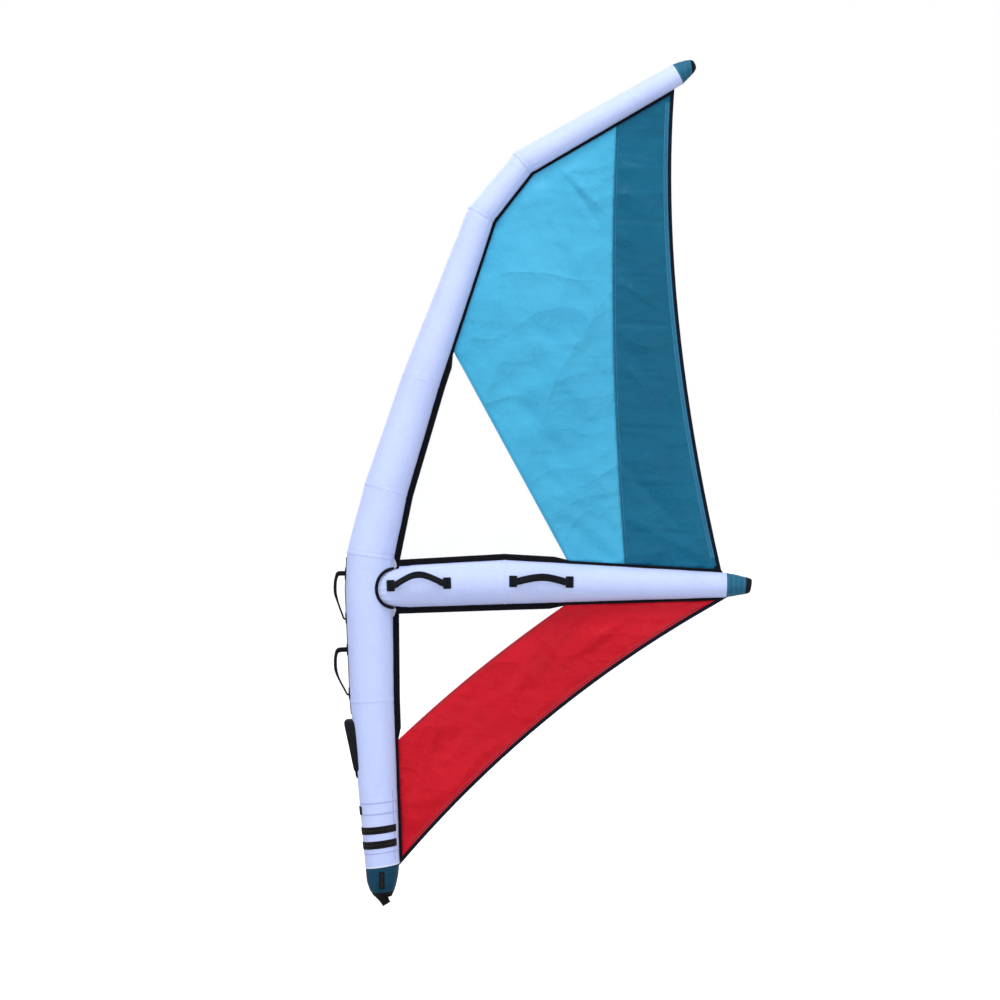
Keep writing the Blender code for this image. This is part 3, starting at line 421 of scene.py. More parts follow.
def smooth_path(points, count):
    """A smooth curve through the points (Catmull-Rom), as count + 1 points."""
    ends = [points[0] * 2 - points[1]] + list(points) + [points[-1] * 2 - points[-2]]
    spans = len(points) - 1
    result = []
    for i in range(count + 1):
        place = min(i / count * spans, spans - 1e-9)
        k, t = int(place), place - int(place)
        a, b, c, d = ends[k:k + 4]
        result.append((b * 2 + (c - a) * t + (a * 2 - b * 5 + c * 4 - d) * t * t
                       + (b * 3 - a - c * 3 + d) * t ** 3) * 0.5)
    return result


def stitch_run(path, normals, pitch, length, radius):
    """Points and faces of thread stitches that lie along a path, on the side of the normals."""
    points, faces = [], []
    distance, next_start = 0.0, pitch / 2
    for (a, na), (b, _) in zip(zip(path, normals), zip(path[1:], normals[1:])):
        step = (b - a).length
        while step > 1e-9 and next_start <= distance + step:
            centre = a.lerp(b, (next_start - distance) / step)
            along = (b - a) / step
            across = along.cross(na).normalized()
            base = len(points)
            for end, size in ((-0.5, 0.35), (-0.32, 1.0), (0.32, 1.0), (0.5, 0.35)):
                for side, up in ((-1.0, 0.0), (-0.5, 0.9), (0.5, 0.9), (1.0, 0.0), (0.0, -0.6)):
                    points.append(centre + along * (end * length) + across * (side * radius * size)
                                  + na * ((up * size + 0.2) * radius))
            for row in range(3):
                for k in range(5):
                    j = (k + 1) % 5
                    a0, b0 = base + row * 5 + k, base + row * 5 + j
                    faces.append((a0, b0, b0 + 5, a0 + 5))
            faces.append(tuple(base + k for k in range(5))[::-1])
            faces.append(tuple(base + 15 + k for k in range(5)))
            next_start += pitch
        distance += step
    return points, faces


def stitch_mesh(name, runs, finish, kind):
    """Every stitch of several runs, each a (path, normals) pair, as one mesh."""
    points, faces = [], []
    for path, normals in runs:
        more, polygons = stitch_run(path, normals, *STITCHING[kind])
        faces += [tuple(index + len(points) for index in polygon) for polygon in polygons]
        points += more
    made = add_mesh(name, points, faces, finish, [(p.x, p.z) for p in points])
    outward(made)
    return made


def stitches(name, runs, finish, slot, kind, body="rig"):
    piece(stitch_mesh(name, runs, finish, kind), slot, body=body)


# ---- the inflated tubes' surfaces --------------------------------------------------------------
def axis_hoops(axis):
    centres = [Vector((point[0], 0.0, point[1])) for point in axis]
    hoops = []
    for i, centre in enumerate(centres):
        before = (centre - centres[max(i - 1, 0)]).normalized()
        after = (centres[min(i + 1, len(centres) - 1)] - centre).normalized()
        along = (before + after).normalized()
        stretch = 1.0 / max((before or after).dot(along), (after or before).dot(along))
        hoops.append((centre, Vector((along.z, 0.0, -along.x)) * stretch, axis[i][2], axis[i][-1]))
    return hoops


MAST_HOOPS = axis_hoops(MAST)
MAST_HOOPS[0] = (MAST_HOOPS[0][0], Vector((1.0, 0.0, MAST_FOOT_SLANT / MAST[0][2])), MAST[0][2], MAST[0][2])
BOOM_HOOPS = axis_hoops(BOOM)


def tube_point(hoops, place, angle, lift=0.0):
    index = min(max(int(place), 0), len(hoops) - 2)
    share = place - index
    turn = math.radians(angle)
    ends = [centre + unit * ((tall + lift) * math.cos(turn)) + Vector((0.0, (wide + lift) * math.sin(turn), 0.0))
            for centre, unit, tall, wide in hoops[index:index + 2]]
    return ends[0].lerp(ends[1], share)


def place_at(z):
    """The place along the mast at a height."""
    for index in range(len(MAST) - 1):
        low, high = MAST[index][1], MAST[index + 1][1]
        if z <= high:
            return index + (z - low) / (high - low)
    return len(MAST) - 1.0


def places_at(low, high, steps):
    return [place_at(low + (high - low) * i / steps) for i in range(steps + 1)]


def bend_turns(hoops):
    """How sharply the tube turns at each hoop, in radians."""
    turns = [0.0]
    for (a, *_), (b, *_), (c, *_) in zip(hoops, hoops[1:], hoops[2:]):
        turns.append((b - a).angle(c - b))
    return turns + [0.0]


MAST_TURNS, BOOM_TURNS = bend_turns(MAST_HOOPS), bend_turns(BOOM_HOOPS)
ALL_ROUND = [3.0 * i for i in range(121)]


def distance_to_hoop(hoops, place, index):
    """Signed distance along the tube from a place to a hoop."""
    low, high = sorted((place, float(index)))
    total = 0.0
    for k in range(int(low), min(int(math.ceil(high)), len(hoops) - 1)):
        share = min(high, k + 1) - max(low, k)
        total += share * (hoops[k + 1][0] - hoops[k][0]).length
    return total


def puckers(hoops, turns, place, angle, point):
    """Lift of the inflated cloth: pinched seams, folds inside each bend and a faint quilting."""
    lift = 0.0009 * noise.noise(point * 9.0) + 0.0005 * noise.noise(point * 31.0)
    inside = max(0.0, math.cos(math.radians(angle))) ** 1.5
    for index in range(1, len(hoops) - 1):
        gap = distance_to_hoop(hoops, place, index)
        if gap > 0.16:
            continue
        sharpness = min(1.0, turns[index] / math.radians(20.0))
        lift -= 0.0022 * sharpness * math.exp(-(gap / 0.010) ** 2)
        fold = math.sin(math.radians(angle) * 13.0 + index) + 0.6 * math.sin(math.radians(angle) * 23.0)
        lift += 0.0018 * sharpness * inside * math.exp(-gap / 0.045) * fold
        lift += 0.0006 * sharpness * math.exp(-gap / 0.03) * math.sin(math.radians(angle) * 31.0 + 2 * index)
    return lift


def tube_ring(hoops, place, lift, sides=96):
    return [tube_point(hoops, place, 360.0 * k / sides, lift) for k in range(sides)]


def tube_rings(hoops, turns, places):
    rings = []
    for place in places:
        ring = []
        for k in range(TUBE_SIDES):
            angle = 360.0 * k / TUBE_SIDES
            flat = tube_point(hoops, place, angle)
            ring.append(tube_point(hoops, place, angle, puckers(hoops, turns, place, angle, flat)))
        rings.append(ring)
    return rings


def places_along(hoops, spacing, start=0.0, end=None):
    end = len(hoops) - 1.0 if end is None else end
    places = []
    for index in range(len(hoops) - 1):
        low, high = max(start, index), min(end, index + 1)
        if low >= high:
            continue
        length = (hoops[index + 1][0] - hoops[index][0]).length * (high - low)
        steps = max(2, round(length / spacing))
        places += [low + (high - low) * i / steps for i in range(steps)]
    return places + [end]


def on_tube(hoops, place, angle, lift):
    """A surface point with its outward direction."""
    low, high = tube_point(hoops, place, angle, lift), tube_point(hoops, place, angle, lift + 0.01)
    return low, (high - low).normalized()


def surface_run(hoops, places, angles, lift):
    """A path over a tube's surface with its normals."""
    pairs = [on_tube(hoops, place, angle, lift) for place, angle in zip(places, angles)]
    return [p for p, _ in pairs], [n for _, n in pairs]


def tube_strip(name, hoops, places, angles, lifts, finish):
    """A thin strip over a tube: a closed band between two lifts, across the given angles."""
    rings = []
    for place in places:
        low = [tube_point(hoops, place, angle, lifts[0]) for angle in angles]
        high = [tube_point(hoops, place, angle, lifts[1]) for angle in angles]
        rings.append(low + high[::-1])
    return loft(name, rings, finish, caps=(True, True))


def seam_band(name, hoops, place, half_width, lift=0.0006):
    """A sewn seam tape round the tube at a mitre."""
    index = min(int(place), len(hoops) - 2)
    length = (hoops[index + 1][0] - hoops[index][0]).length
    back = (hoops[index][0] - hoops[max(index - 1, 0)][0]).length or length
    before, after = half_width / back, half_width / length
    stations = [(place - before, -0.0006), (place - before * 0.7, lift * 0.7), (place, lift),
                (place + after * 0.7, lift * 0.7), (place + after, -0.0006)]
    rings = [tube_ring(hoops, station, rise) for station, rise in stations]
    piece(loft(name, rings, "sleeve"), "sleeve_white")


def make_mast():
    places = places_along(MAST_HOOPS, TUBE_STEP)
    rings = tube_rings(MAST_HOOPS, MAST_TURNS, places)
    first, last = (tube_ring(MAST_HOOPS, place, -SLEEVE_WALL, TUBE_SIDES) for place in (places[0], places[-1]))
    piece(loft("mast_cloth", [first] + rings + [last], "sleeve"), "sleeve_white", "mast_sleeve")
    runs = []
    for index in MAST_SEAMS:
        seam_band(f"mast_seam_{index}", MAST_HOOPS, float(index), 0.007)
        for shift in (-0.0045, 0.0045):
            after = index + (shift > 0)
            length = (MAST_HOOPS[after][0] - MAST_HOOPS[after - 1][0]).length
            runs.append(surface_run(MAST_HOOPS, [index + shift / length] * 121, ALL_ROUND, 0.0006))
    for z in (0.376, 0.336, 0.303, 0.193):
        runs.append(surface_run(MAST_HOOPS, [place_at(z)] * 100, [30.0 + 3.0 * i for i in range(100)], 0.0004))
    for label, angle in (("port", -32.0), ("starboard", 32.0)):
        path = places_along(MAST_HOOPS, 0.03, 0.0, 2.0)
        runs.append(surface_run(MAST_HOOPS, path, [angle] * len(path), 0.0008))
        strip = tube_strip("mast_side_seam_" + label, MAST_HOOPS, places_along(MAST_HOOPS, 0.02, 0.0, 2.0),
                           fan(angle, 5.0, 5), (-0.0008, 0.0007), "sleeve")
        piece(strip, "sleeve_white")
    stitches("mast_stitching", runs, "thread_white", "sleeve_white", "seam")


def mast_circle(z):
    """The mast's axis x and radius at a height."""
    place = place_at(z)
    index = min(int(place), len(MAST) - 2)
    share = place - index
    x, _, radius = (a + (b - a) * share for a, b in zip(MAST[index], MAST[index + 1]))
    return x, radius


def root_point(angle, stand_off=0.0, lift=0.0):
    """A point of the root seam, which is an ellipse on the mast as seen from the side."""
    turn = math.radians(angle)
    z = ROOT_MIDDLE_Z - (ROOT_HALF_HEIGHT + stand_off) * math.cos(turn)
    axis_x, radius = mast_circle(z)
    radius += lift
    forward = (ROOT_LENGTH + stand_off) * abs(math.sin(turn))
    x = min(ROOT_END_X - forward, axis_x + radius * 0.99999)
    side = math.sqrt(max(radius ** 2 - (x - axis_x) ** 2, 0.0))
    return Vector((x, math.copysign(side, math.sin(turn)), z))


def boom_place(x, angle):
    """The place along the boom where its surface has this x, at an angle."""
    low, high = -0.2, 1.0
    for _ in range(24):
        middle = (low + high) / 2
        if tube_point(BOOM_HOOPS, middle, angle).x < x:
            low = middle
        else:
            high = middle
    return high


def make_boom():
    """The boom's sleeve. Its root is drawn in to the oval seam on the mast."""
    angles = [360.0 * k / TUBE_SIDES for k in range(TUBE_SIDES)]
    roots = [root_point(angle, 0.0, -0.001) for angle in angles]
    starts = [boom_place(root.x, angle) for root, angle in zip(roots, angles)]
    steps = [root - tube_point(BOOM_HOOPS, start, angle) for root, start, angle in zip(roots, starts, angles)]
    rings = []
    for row in places_along(BOOM_HOOPS, TUBE_STEP, 0.0, 2.0):
        ring = []
        for angle, start, step in zip(angles, starts, steps):
            place = start + (row / 2.0) * (2.0 - start)
            fade = min(1.0, (place - start) / 0.15)
            settle = 1.0 - fade * fade * (3.0 - 2.0 * fade)
            lift = puckers(BOOM_HOOPS, BOOM_TURNS, place, angle, tube_point(BOOM_HOOPS, place, angle))
            lift += 0.0011 * math.exp(-(place - start) / 0.09) * math.sin(math.radians(angle) * 19.0)
            ring.append(tube_point(BOOM_HOOPS, place, angle, lift) + step * settle)
        rings.append(ring)
    piece(loft("boom_cloth", rings, "sleeve"), "sleeve_white", "boom_sleeve")
    seam_band("boom_seam", BOOM_HOOPS, 1.0, 0.006)
    runs = [surface_run(BOOM_HOOPS, [place] * 121, ALL_ROUND, 0.0006)
            for place in (0.994, 1.004, 2.0 - 0.010 / 0.81, 2.0 - 0.006 / 0.81)]
    stitches("boom_stitching", runs, "thread_white", "sleeve_white", "seam")


def make_root_piping():
    """Corded piping sewn into the oval root seam, all the way round on each side, and its flat hem."""
    for label, start in (("port", 184.0), ("starboard", 4.0)):
        path = [root_point(start + 172.0 * i / 96, 0.004, 0.0042) for i in range(97)]
        piece(tube_along("root_piping_" + label, path, 0.0060, 14, "tape"), "tape_black",
              "boom_root_piping_" + label)
    hem = [[root_point(2.5 * i, stand_off, lift)
            for stand_off, lift in ((0.006, 0.0004), (0.007, 0.0016), (0.017, 0.0014), (0.018, 0.0004))]
           for i in range(145)]
    piece(loft("root_hem", hem, "sleeve", around=False), "sleeve_white")
    runs = []
    for stand_off in (0.010, 0.0145):
        path, outer = ([root_point(angle, stand_off, lift) for angle in ALL_ROUND] for lift in (0.0016, 0.0116))
        runs.append((path, [(b - a).normalized() for a, b in zip(path, outer)]))
    stitches("root_stitching", runs, "thread_white", "sleeve_white", "seam")


def tube_along(name, path, radius, sides, finish):
    rings = []
    for i, point in enumerate(path):
        along = direction(path, i)
        across = (SIDEWAYS - along * SIDEWAYS.dot(along)).normalized()
        up = along.cross(across)
        turns = [2 * math.pi * k / sides for k in range(sides)]
        rings.append([point + across * (math.cos(turn) * radius) + up * (math.sin(turn) * radius)
                      for turn in turns])
    return loft(name, rings, finish, caps=(True, True))


make_mast()
make_boom()
make_root_piping()


# ---- sailcloth -----------------------------------------------------------------------------------
def node_outline(node):
    """The outline of a flat sewn node in the sail's plane, read from its CAD mesh."""
    bm = bmesh.new()
    bm.from_mesh(NODES[node].data)
    bmesh.ops.remove_doubles(bm, verts=bm.verts, dist=1e-5)
    near = [face for face in bm.faces if face.normal.y < -0.9]
    count = {}
    for face in near:
        for edge in face.edges:
            count[edge] = count.get(edge, 0) + 1
    follow = {}
    for edge, used in count.items():
        if used == 1:
            a, b = edge.verts
            follow.setdefault(a, []).append(b)
            follow.setdefault(b, []).append(a)
    start = next(iter(follow))
    loop, previous, current = [start], None, start
    while True:
        onward = [v for v in follow[current] if v is not previous]
        previous, current = current, onward[0]
        if current is start:
            break
        loop.append(current)
    outline = [Vector((v.co.x, v.co.z)) for v in loop]
    bm.free()
    return outline


def shifted_outline(outline, distance):
    """The outline moved outwards by the distance."""
    area = sum(a.x * b.y - b.x * a.y for a, b in zip(outline, outline[1:] + outline[:1]))
    side = -1.0 if area > 0 else 1.0
    moved = []
    for i, point in enumerate(outline):
        before = (point - outline[i - 1]).normalized()
        after = (outline[(i + 1) % len(outline)] - point).normalized()
        along = (before + after).normalized()
        moved.append(point + Vector((-along.y, along.x)) * side * distance / max(along.dot(after), 0.5))
    return moved


def edge_tree(edge):
    tree = kdtree.KDTree(len(edge))
    for index, point in enumerate(edge):
        tree.insert((point.x, point.y, 0.0), index)
    tree.balance()
    return tree


def flat_mesh(outline, spacing):
    """Even triangles inside the outline, and each point's distance from the edge."""
    edge = resampled(outline, spacing, closed=True)
    tree = edge_tree(edge)
    points = list(edge)
    low = Vector((min(p.x for p in edge), min(p.y for p in edge)))
    high = Vector((max(p.x for p in edge), max(p.y for p in edge)))
    row, z = 0, low.y
    while z < high.y:
        x = low.x + (spacing / 2 if row % 2 else 0.0)
        while x < high.x:
            if tree.find((x, z, 0.0))[2] > spacing * 0.6:
                points.append(Vector((x, z)))
            x += spacing
        z += spacing * 0.866
        row += 1
    edges = [(i, (i + 1) % len(edge)) for i in range(len(edge))]
    flat, _, faces, *_ = geometry.delaunay_2d_cdt(points, edges, [], 1, 1e-7)
    far = [tree.find((p.x, p.y, 0.0))[2] for p in flat]
    return flat, faces, far


def crease(p, start, end, width, height):
    """A soft fold along a line, that fades at its two ends."""
    a, b = Vector(start), Vector(end)
    along = b - a
    t = (p - a).dot(along) / along.length_squared
    off = (p - a - along * t).length
    if not -0.15 < t < 1.15:
        return 0.0
    fade = math.sin(math.pi * min(max((t + 0.15) / 1.3, 0.0), 1.0))
    return height * fade * math.exp(-(off / width) ** 2)


def ripples(p, turn, long_scale, cross_scale, seed):
    """Wrinkles stretched along a direction."""
    c, s = math.cos(turn), math.sin(turn)
    along, across = p.x * c + p.y * s, p.y * c - p.x * s
    value = noise.noise(Vector((along * long_scale, across * cross_scale, seed)))
    return value * abs(value) * 2.0 + 0.35 * noise.noise(Vector((along * long_scale * 2.3,
                                                                  across * cross_scale * 2.1, seed + 5.0)))


def crumple(p, turn, scale, height, seed):
    """Sharp little folds, as cloth that was packed away shows."""
    c, s = math.cos(turn), math.sin(turn)
    along, across = p.x * c + p.y * s, p.y * c - p.x * s
    ridge = abs(noise.noise(Vector((along * scale * 0.35, across * scale, seed))))
    patch = 0.35 + 0.65 * max(0.0, noise.noise(Vector((p.x * 2.3, p.y * 2.3, seed + 9.0))) + 0.45)
    return height * patch * (1.0 - 2.6 * ridge)


def creases(p, folds):
    return sum(crease(p, *fold) for fold in folds)


BLUE_CREASES = (
    ((0.62, 2.72), (0.84, 2.50), 0.013, 0.0085), ((0.66, 2.66), (0.80, 2.46), 0.010, -0.0068),
    ((0.37, 2.26), (0.84, 1.72), 0.035, 0.0085), ((0.40, 1.96), (0.86, 1.36), 0.030, -0.0085),
    ((0.56, 2.62), (0.84, 2.08), 0.030, 0.0068),
)
TEAL_CREASES = tuple(((0.80, 1.372 + 0.19 * i), (1.20, 1.352 + 0.19 * i), 0.008, 0.0026 if i % 2 else -0.0044)
                     for i in range(9)) + (
    ((0.83, 2.30), (1.04, 2.16), 0.012, 0.0076), ((0.86, 1.62), (1.12, 1.32), 0.022, -0.0068),
    ((0.88, 1.42), (1.16, 1.27), 0.018, 0.0068),
)
RED_CREASES = (
    ((0.60, 1.06), (0.44, 0.72), 0.022, 0.0085), ((0.74, 1.07), (0.55, 0.80), 0.020, -0.0085),
    ((0.90, 1.07), (0.72, 0.93), 0.018, 0.0076), ((0.20, 0.72), (0.12, 0.40), 0.020, 0.0076),
    ((0.36, 0.86), (0.22, 0.52), 0.022, -0.0068),
)


def blue_shape(p, far):
    fall = min(1.0, far / 0.05)
    y = 0.010 * min(1.0, far / 0.25) + 0.0085 * ripples(p, math.radians(118.0), 1.1, 6.0, 3.0)
    y += 0.0036 * ripples(p, math.radians(-48.0), 3.0, 13.0, 8.0) + creases(p, BLUE_CREASES)
    y += crumple(p, math.radians(48.0), 7.0, 0.0062, 41.0) + crumple(p, math.radians(-25.0), 13.0, 0.0030, 47.0)
    low = max(0.0, 1.0 - (p.y - 1.24) / 0.28)
    wander = 3.0 * noise.noise(Vector((p.x * 4, p.y * 4, 1.0)))
    return fall * (y + low * 0.0060 * math.sin((p.x * 0.8 + p.y) * 62.0 + wander))


def teal_shape(p, far):
    fall = min(1.0, far / 0.04)
    y = 0.006 * min(1.0, far / 0.12) + 0.0060 * ripples(p, math.radians(96.0), 1.4, 8.0, 13.0)
    y += crumple(p, math.radians(-30.0), 8.0, 0.0048, 51.0) + crumple(p, math.radians(60.0), 14.0, 0.0026, 57.0)
    return fall * (y + creases(p, TEAL_CREASES))


def red_shape(p, far):
    fall = min(1.0, far / 0.035)
    y = 0.007 * min(1.0, far / 0.12) + 0.0075 * ripples(p, math.radians(38.0), 1.6, 8.0, 23.0)
    y += crumple(p, math.radians(58.0), 8.0, 0.0050, 61.0) + crumple(p, math.radians(10.0), 14.0, 0.0024, 67.0)
    return fall * (y + creases(p, RED_CREASES))


def window_shape(p, far):
    fall = min(1.0, far / 0.05)
    return fall * (0.006 * min(1.0, far / 0.15) + 0.0040 * ripples(p, math.radians(60.0), 1.2, 4.0, 33.0))


LIFT = {}


def lift_of(outline, shape):
    """A function giving a sheet's height off the sail's plane at a point of it."""
    tree = edge_tree(resampled(outline, 0.008, closed=True))
    return lambda p: -shape(p, tree.find((p.x, p.y, 0.0))[2])


def make_sheet(name, node, finish, slot, shape, spacing, thickness):
    outline = shifted_outline(node_outline(node), 0.0002)
    flat, faces, far = flat_mesh(outline, spacing)
    points = [Vector((p.x, -shape(p, d), p.y)) for p, d in zip(flat, far)]
    made = add_mesh(name, points, [tuple(f) for f in faces], finish, [(p.x, p.y) for p in flat], 60.0)
    solid = made.modifiers.new("cloth thickness", "SOLIDIFY")
    solid.thickness = thickness
    solid.offset = 0.0
    piece(made, slot, node)
    LIFT[name] = lift_of(outline, shape)


SHEETS = {
    "main_panel_cloth": ("upper_main_panel", "blue", "sail_blue", blue_shape, 0.011, 0.0008),
    "leech_panel_cloth": ("upper_leech_panel", "teal", "sail_teal", teal_shape, 0.010, 0.0008),
    "lower_panel_cloth": ("lower_panel", "red", "sail_red", red_shape, 0.010, 0.0008),
    "upper_window_film": ("upper_window", "film", "window_film", window_shape, 0.016, 0.0005),
    "lower_window_film": ("lower_window", "film", "window_film", window_shape, 0.016, 0.0005),
}
for sheet_name, facts in SHEETS.items():
    make_sheet(sheet_name, *facts)


# ---- tapes, hems and seams -------------------------------------------------------------------------
def pillow(name, outline, spacing, finish, thickness, rounding):
    """A thin closed piece over an outline, thickest away from its edges."""
    flat, faces, far = flat_mesh(outline, spacing)
    rises = [0.0 if d < 1e-6 else thickness / 2 * min(1.0, d / rounding) ** 0.5 for d in far]
    points = [Vector((p.x, -rise, p.y)) for p, rise in zip(flat, rises)]
    back = []
    for index, rise in enumerate(rises):
        back.append(len(points) if rise > 0.0 else index)
        if rise > 0.0:
            points.append(Vector((flat[index].x, rise, flat[index].y)))
    polygons = [tuple(f) for f in faces] + [tuple(back[i] for i in f)[::-1] for f in faces]
    made = add_mesh(name, points, polygons, finish, [(p.x, p.z) for p in points], 60.0)
    outward(made)
    return made


def flat_runs(outline, inset, rise):
    """Paths along an outline on both faces of the sail, with their normals."""
    loop = resampled(shifted_outline(outline, -inset), 0.02, closed=True)
    loop.append(loop[0])
    runs = []
    for side in (-1.0, 1.0):
        path = [Vector((p.x, side * rise, p.y)) for p in loop]
        runs.append((path, [Vector((0.0, side, 0.0))] * len(path)))
    return runs


TAPES = {
    "upper_luff_tape": "luff_hem_upper", "boom_top_tape": "boom_hem_upper", "lower_luff_tape": "luff_hem_lower",
    "boom_bottom_tape": "boom_hem_lower", "upper_leech_binding": "leech_piping_upper",
    "lower_leech_binding": "leech_piping_lower",
}


def make_tapes():
    for node, name in TAPES.items():
        leech = node.endswith("binding")
        finish, slot, thickness = ("binding", "binding_navy", 0.0044) if leech else ("tape", "tape_black", 0.0036)
        outline = shifted_outline(node_outline(node), 0.0012)
        piece(pillow(name, outline, 0.005, finish, thickness, 0.0035), slot, node)
        stitches(name + "_stitching", flat_runs(outline, 0.0036, thickness / 2), "thread_dark", slot, "tape")


def beside(curve, i, distance):
    """A point beside a curve of the sail's plane, at a distance from one of its points."""
    along = direction(curve, i)
    return curve[i] + Vector((-along.y, along.x)) * distance


def cloth_strip(name, curve, inner, outer, lift, finish, slot, thickness=0.0022):
    """A hem that lies along a curve of the sail, between two distances from it, following the cloth."""
    rings = []
    for i in range(len(curve)):
        ring = []
        for side, shares in ((-1.0, (0.0, 0.2, 0.5, 0.8, 1.0)), (1.0, (1.0, 0.8, 0.5, 0.2, 0.0))):
            for share in shares:
                q = beside(curve, i, inner + (outer - inner) * share)
                swell = thickness / 2 * (0.35 if share in (0.0, 1.0) else 1.0)
                ring.append(Vector((q.x, lift(q) + side * swell, q.y)))
        rings.append(ring)
    piece(loft(name, rings, finish, caps=(True, True)), slot)


def cloth_runs(curve, distance, lift, rise):
    """Thread paths at a distance beside a curve, on both faces of the cloth."""
    path = [beside(curve, i, distance) for i in range(len(curve))]
    return [([Vector((p.x, lift(p) + side * rise, p.y)) for p in path], [SIDEWAYS * side] * len(path))
            for side in (-1.0, 1.0)]


# Each hem or seam: its strip's name, its stitching's name, the curve it follows, that curve's steps, the
# heights it runs between, its inner and outer distance from the curve, its two rows of thread, the sheet
# it lies on, its finish, slot and thread, its thickness and how proud the thread stands.
HEMS = (
    ("leech_hem_upper", "leech_stitching_upper", UPPER_LEECH, 120, (1.262, 2.948), (-0.0120, -0.0290),
     (-0.0150, -0.0265), "leech_panel_cloth", "teal_hem", "sail_teal", "thread_teal", 0.0022, 0.0012),
    ("leech_hem_lower", "leech_stitching_lower", LOWER_LEECH, 120, (0.205, 1.070), (-0.0120, -0.0270),
     (-0.0150, -0.0245), "lower_panel_cloth", "red_hem", "sail_red", "thread_red", 0.0022, 0.0012),
    ("panel_seam", "panel_stitching", UPPER_SEAM, 120, (1.256, 2.826), (0.0, 0.0120),
     (0.0025, 0.0095), "leech_panel_cloth", "teal", "sail_teal", "thread_teal", 0.0020, 0.0011),
    ("window_seam_upper", "window_stitching_upper", UPPER_WINDOW_EDGE, 80, (1.285, 1.985), (0.0, 0.0130),
     (0.0025, 0.0105), "main_panel_cloth", "blue_hem", "sail_blue", "thread_teal", 0.0022, 0.0012),
    ("window_seam_lower", "window_stitching_lower", LOWER_WINDOW_EDGE, 80, (0.640, 1.062), (0.0, -0.0130),
     (-0.0025, -0.0105), "lower_panel_cloth", "red_hem", "sail_red", "thread_red", 0.0022, 0.0012),
)


def make_hems():
    for name, stitching, ends, steps, (low, high), edges, rows, sheet, finish, slot, thread, thick, rise in HEMS:
        curve = [Vector((p.x, p.y)) for p in bezier(*ends, count=steps) if low < p.y < high]
        cloth_strip(name, curve, *edges, LIFT[sheet], finish, slot, thick)
        runs = [run for row in rows for run in cloth_runs(curve, row, LIFT[sheet], rise)]
        stitches(stitching, runs, thread, slot, "sail")


make_tapes()
make_hems()


# ---- handles and loops -------------------------------------------------------------------------------
def swept(name, sections, finish):
    """A flat strap from sections (centre, across, normal, width, thickness), with rounded edges."""
    half = [(0.94, 0.62), (0.80, 1.0), (0.4, 1.06), (0.0, 1.08), (-0.4, 1.06), (-0.80, 1.0), (-0.94, 0.62)]
    profile = [(1.0, 0.0)] + half + [(-1.0, 0.0)] + [(u, -v) for u, v in half[::-1]]
    rings = [[centre + across * (u * width / 2) + normal * (v * thickness / 2) for u, v in profile]
             for centre, across, normal, width, thickness in sections]
    return loft(name, rings, finish, caps=(True, True), sharp=50.0)


def side_runs(sections, inset):
    """Stitch paths along both edges of a strap, on its outer and inner face."""
    runs = []
    for edge in (-1.0, 1.0):
        for face in (-1.0, 1.0):
            path, normals = [], []
            for centre, across, normal, width, thickness in sections:
                path.append(centre + across * (edge * (width / 2 - inset)) + normal * (face * thickness * 0.52))
                normals.append(normal * face)
            runs.append((path, normals))
    return runs


def rounded_pad(name, centre, run, up, out, size, finish, rounding=0.0035):
    """A stitched patch of webbing: a rounded slab with soft edges."""
    length, height, thickness = size
    rings = []
    for shrink, level in ((0.0, -0.5), (0.0, -0.1), (0.0007, 0.3), (0.0022, 0.5)):
        ring = []
        for sx, sy, start in ((1, 1, 0), (-1, 1, 90), (-1, -1, 180), (1, -1, 270)):
            for k in range(5):
                turn = math.radians(start + 22.5 * k)
                corner = run * (sx * (length / 2 - rounding)) + up * (sy * (height / 2 - rounding))
                arm = run * math.cos(turn) + up * math.sin(turn)
                ring.append(centre + corner + arm * (rounding - shrink) + out * (level * thickness))
        rings.append(ring)
    return loft(name, rings, finish, caps=(True, True))


def box_stitch(centre, run, up, out, length, height):
    """Thread paths of a box with a cross in it."""
    corner = [centre + run * (sx * length / 2) + up * (sy * height / 2)
              for sx, sy in ((-1, -1), (1, -1), (1, 1), (-1, 1))]
    paths = [corner + corner[:1], [corner[0], corner[2]], [corner[1], corner[3]]]
    return [(path, [out] * len(path)) for path in paths]


def boom_side(x):
    """The boom's half width and its axis height at x."""
    first, second = (BOOM[0], BOOM[1]) if x < BOOM[1][0] else (BOOM[1], BOOM[2])
    share = (x - first[0]) / (second[0] - first[0])
    return (first[index] + (second[index] - first[index]) * share for index in (3, 1))


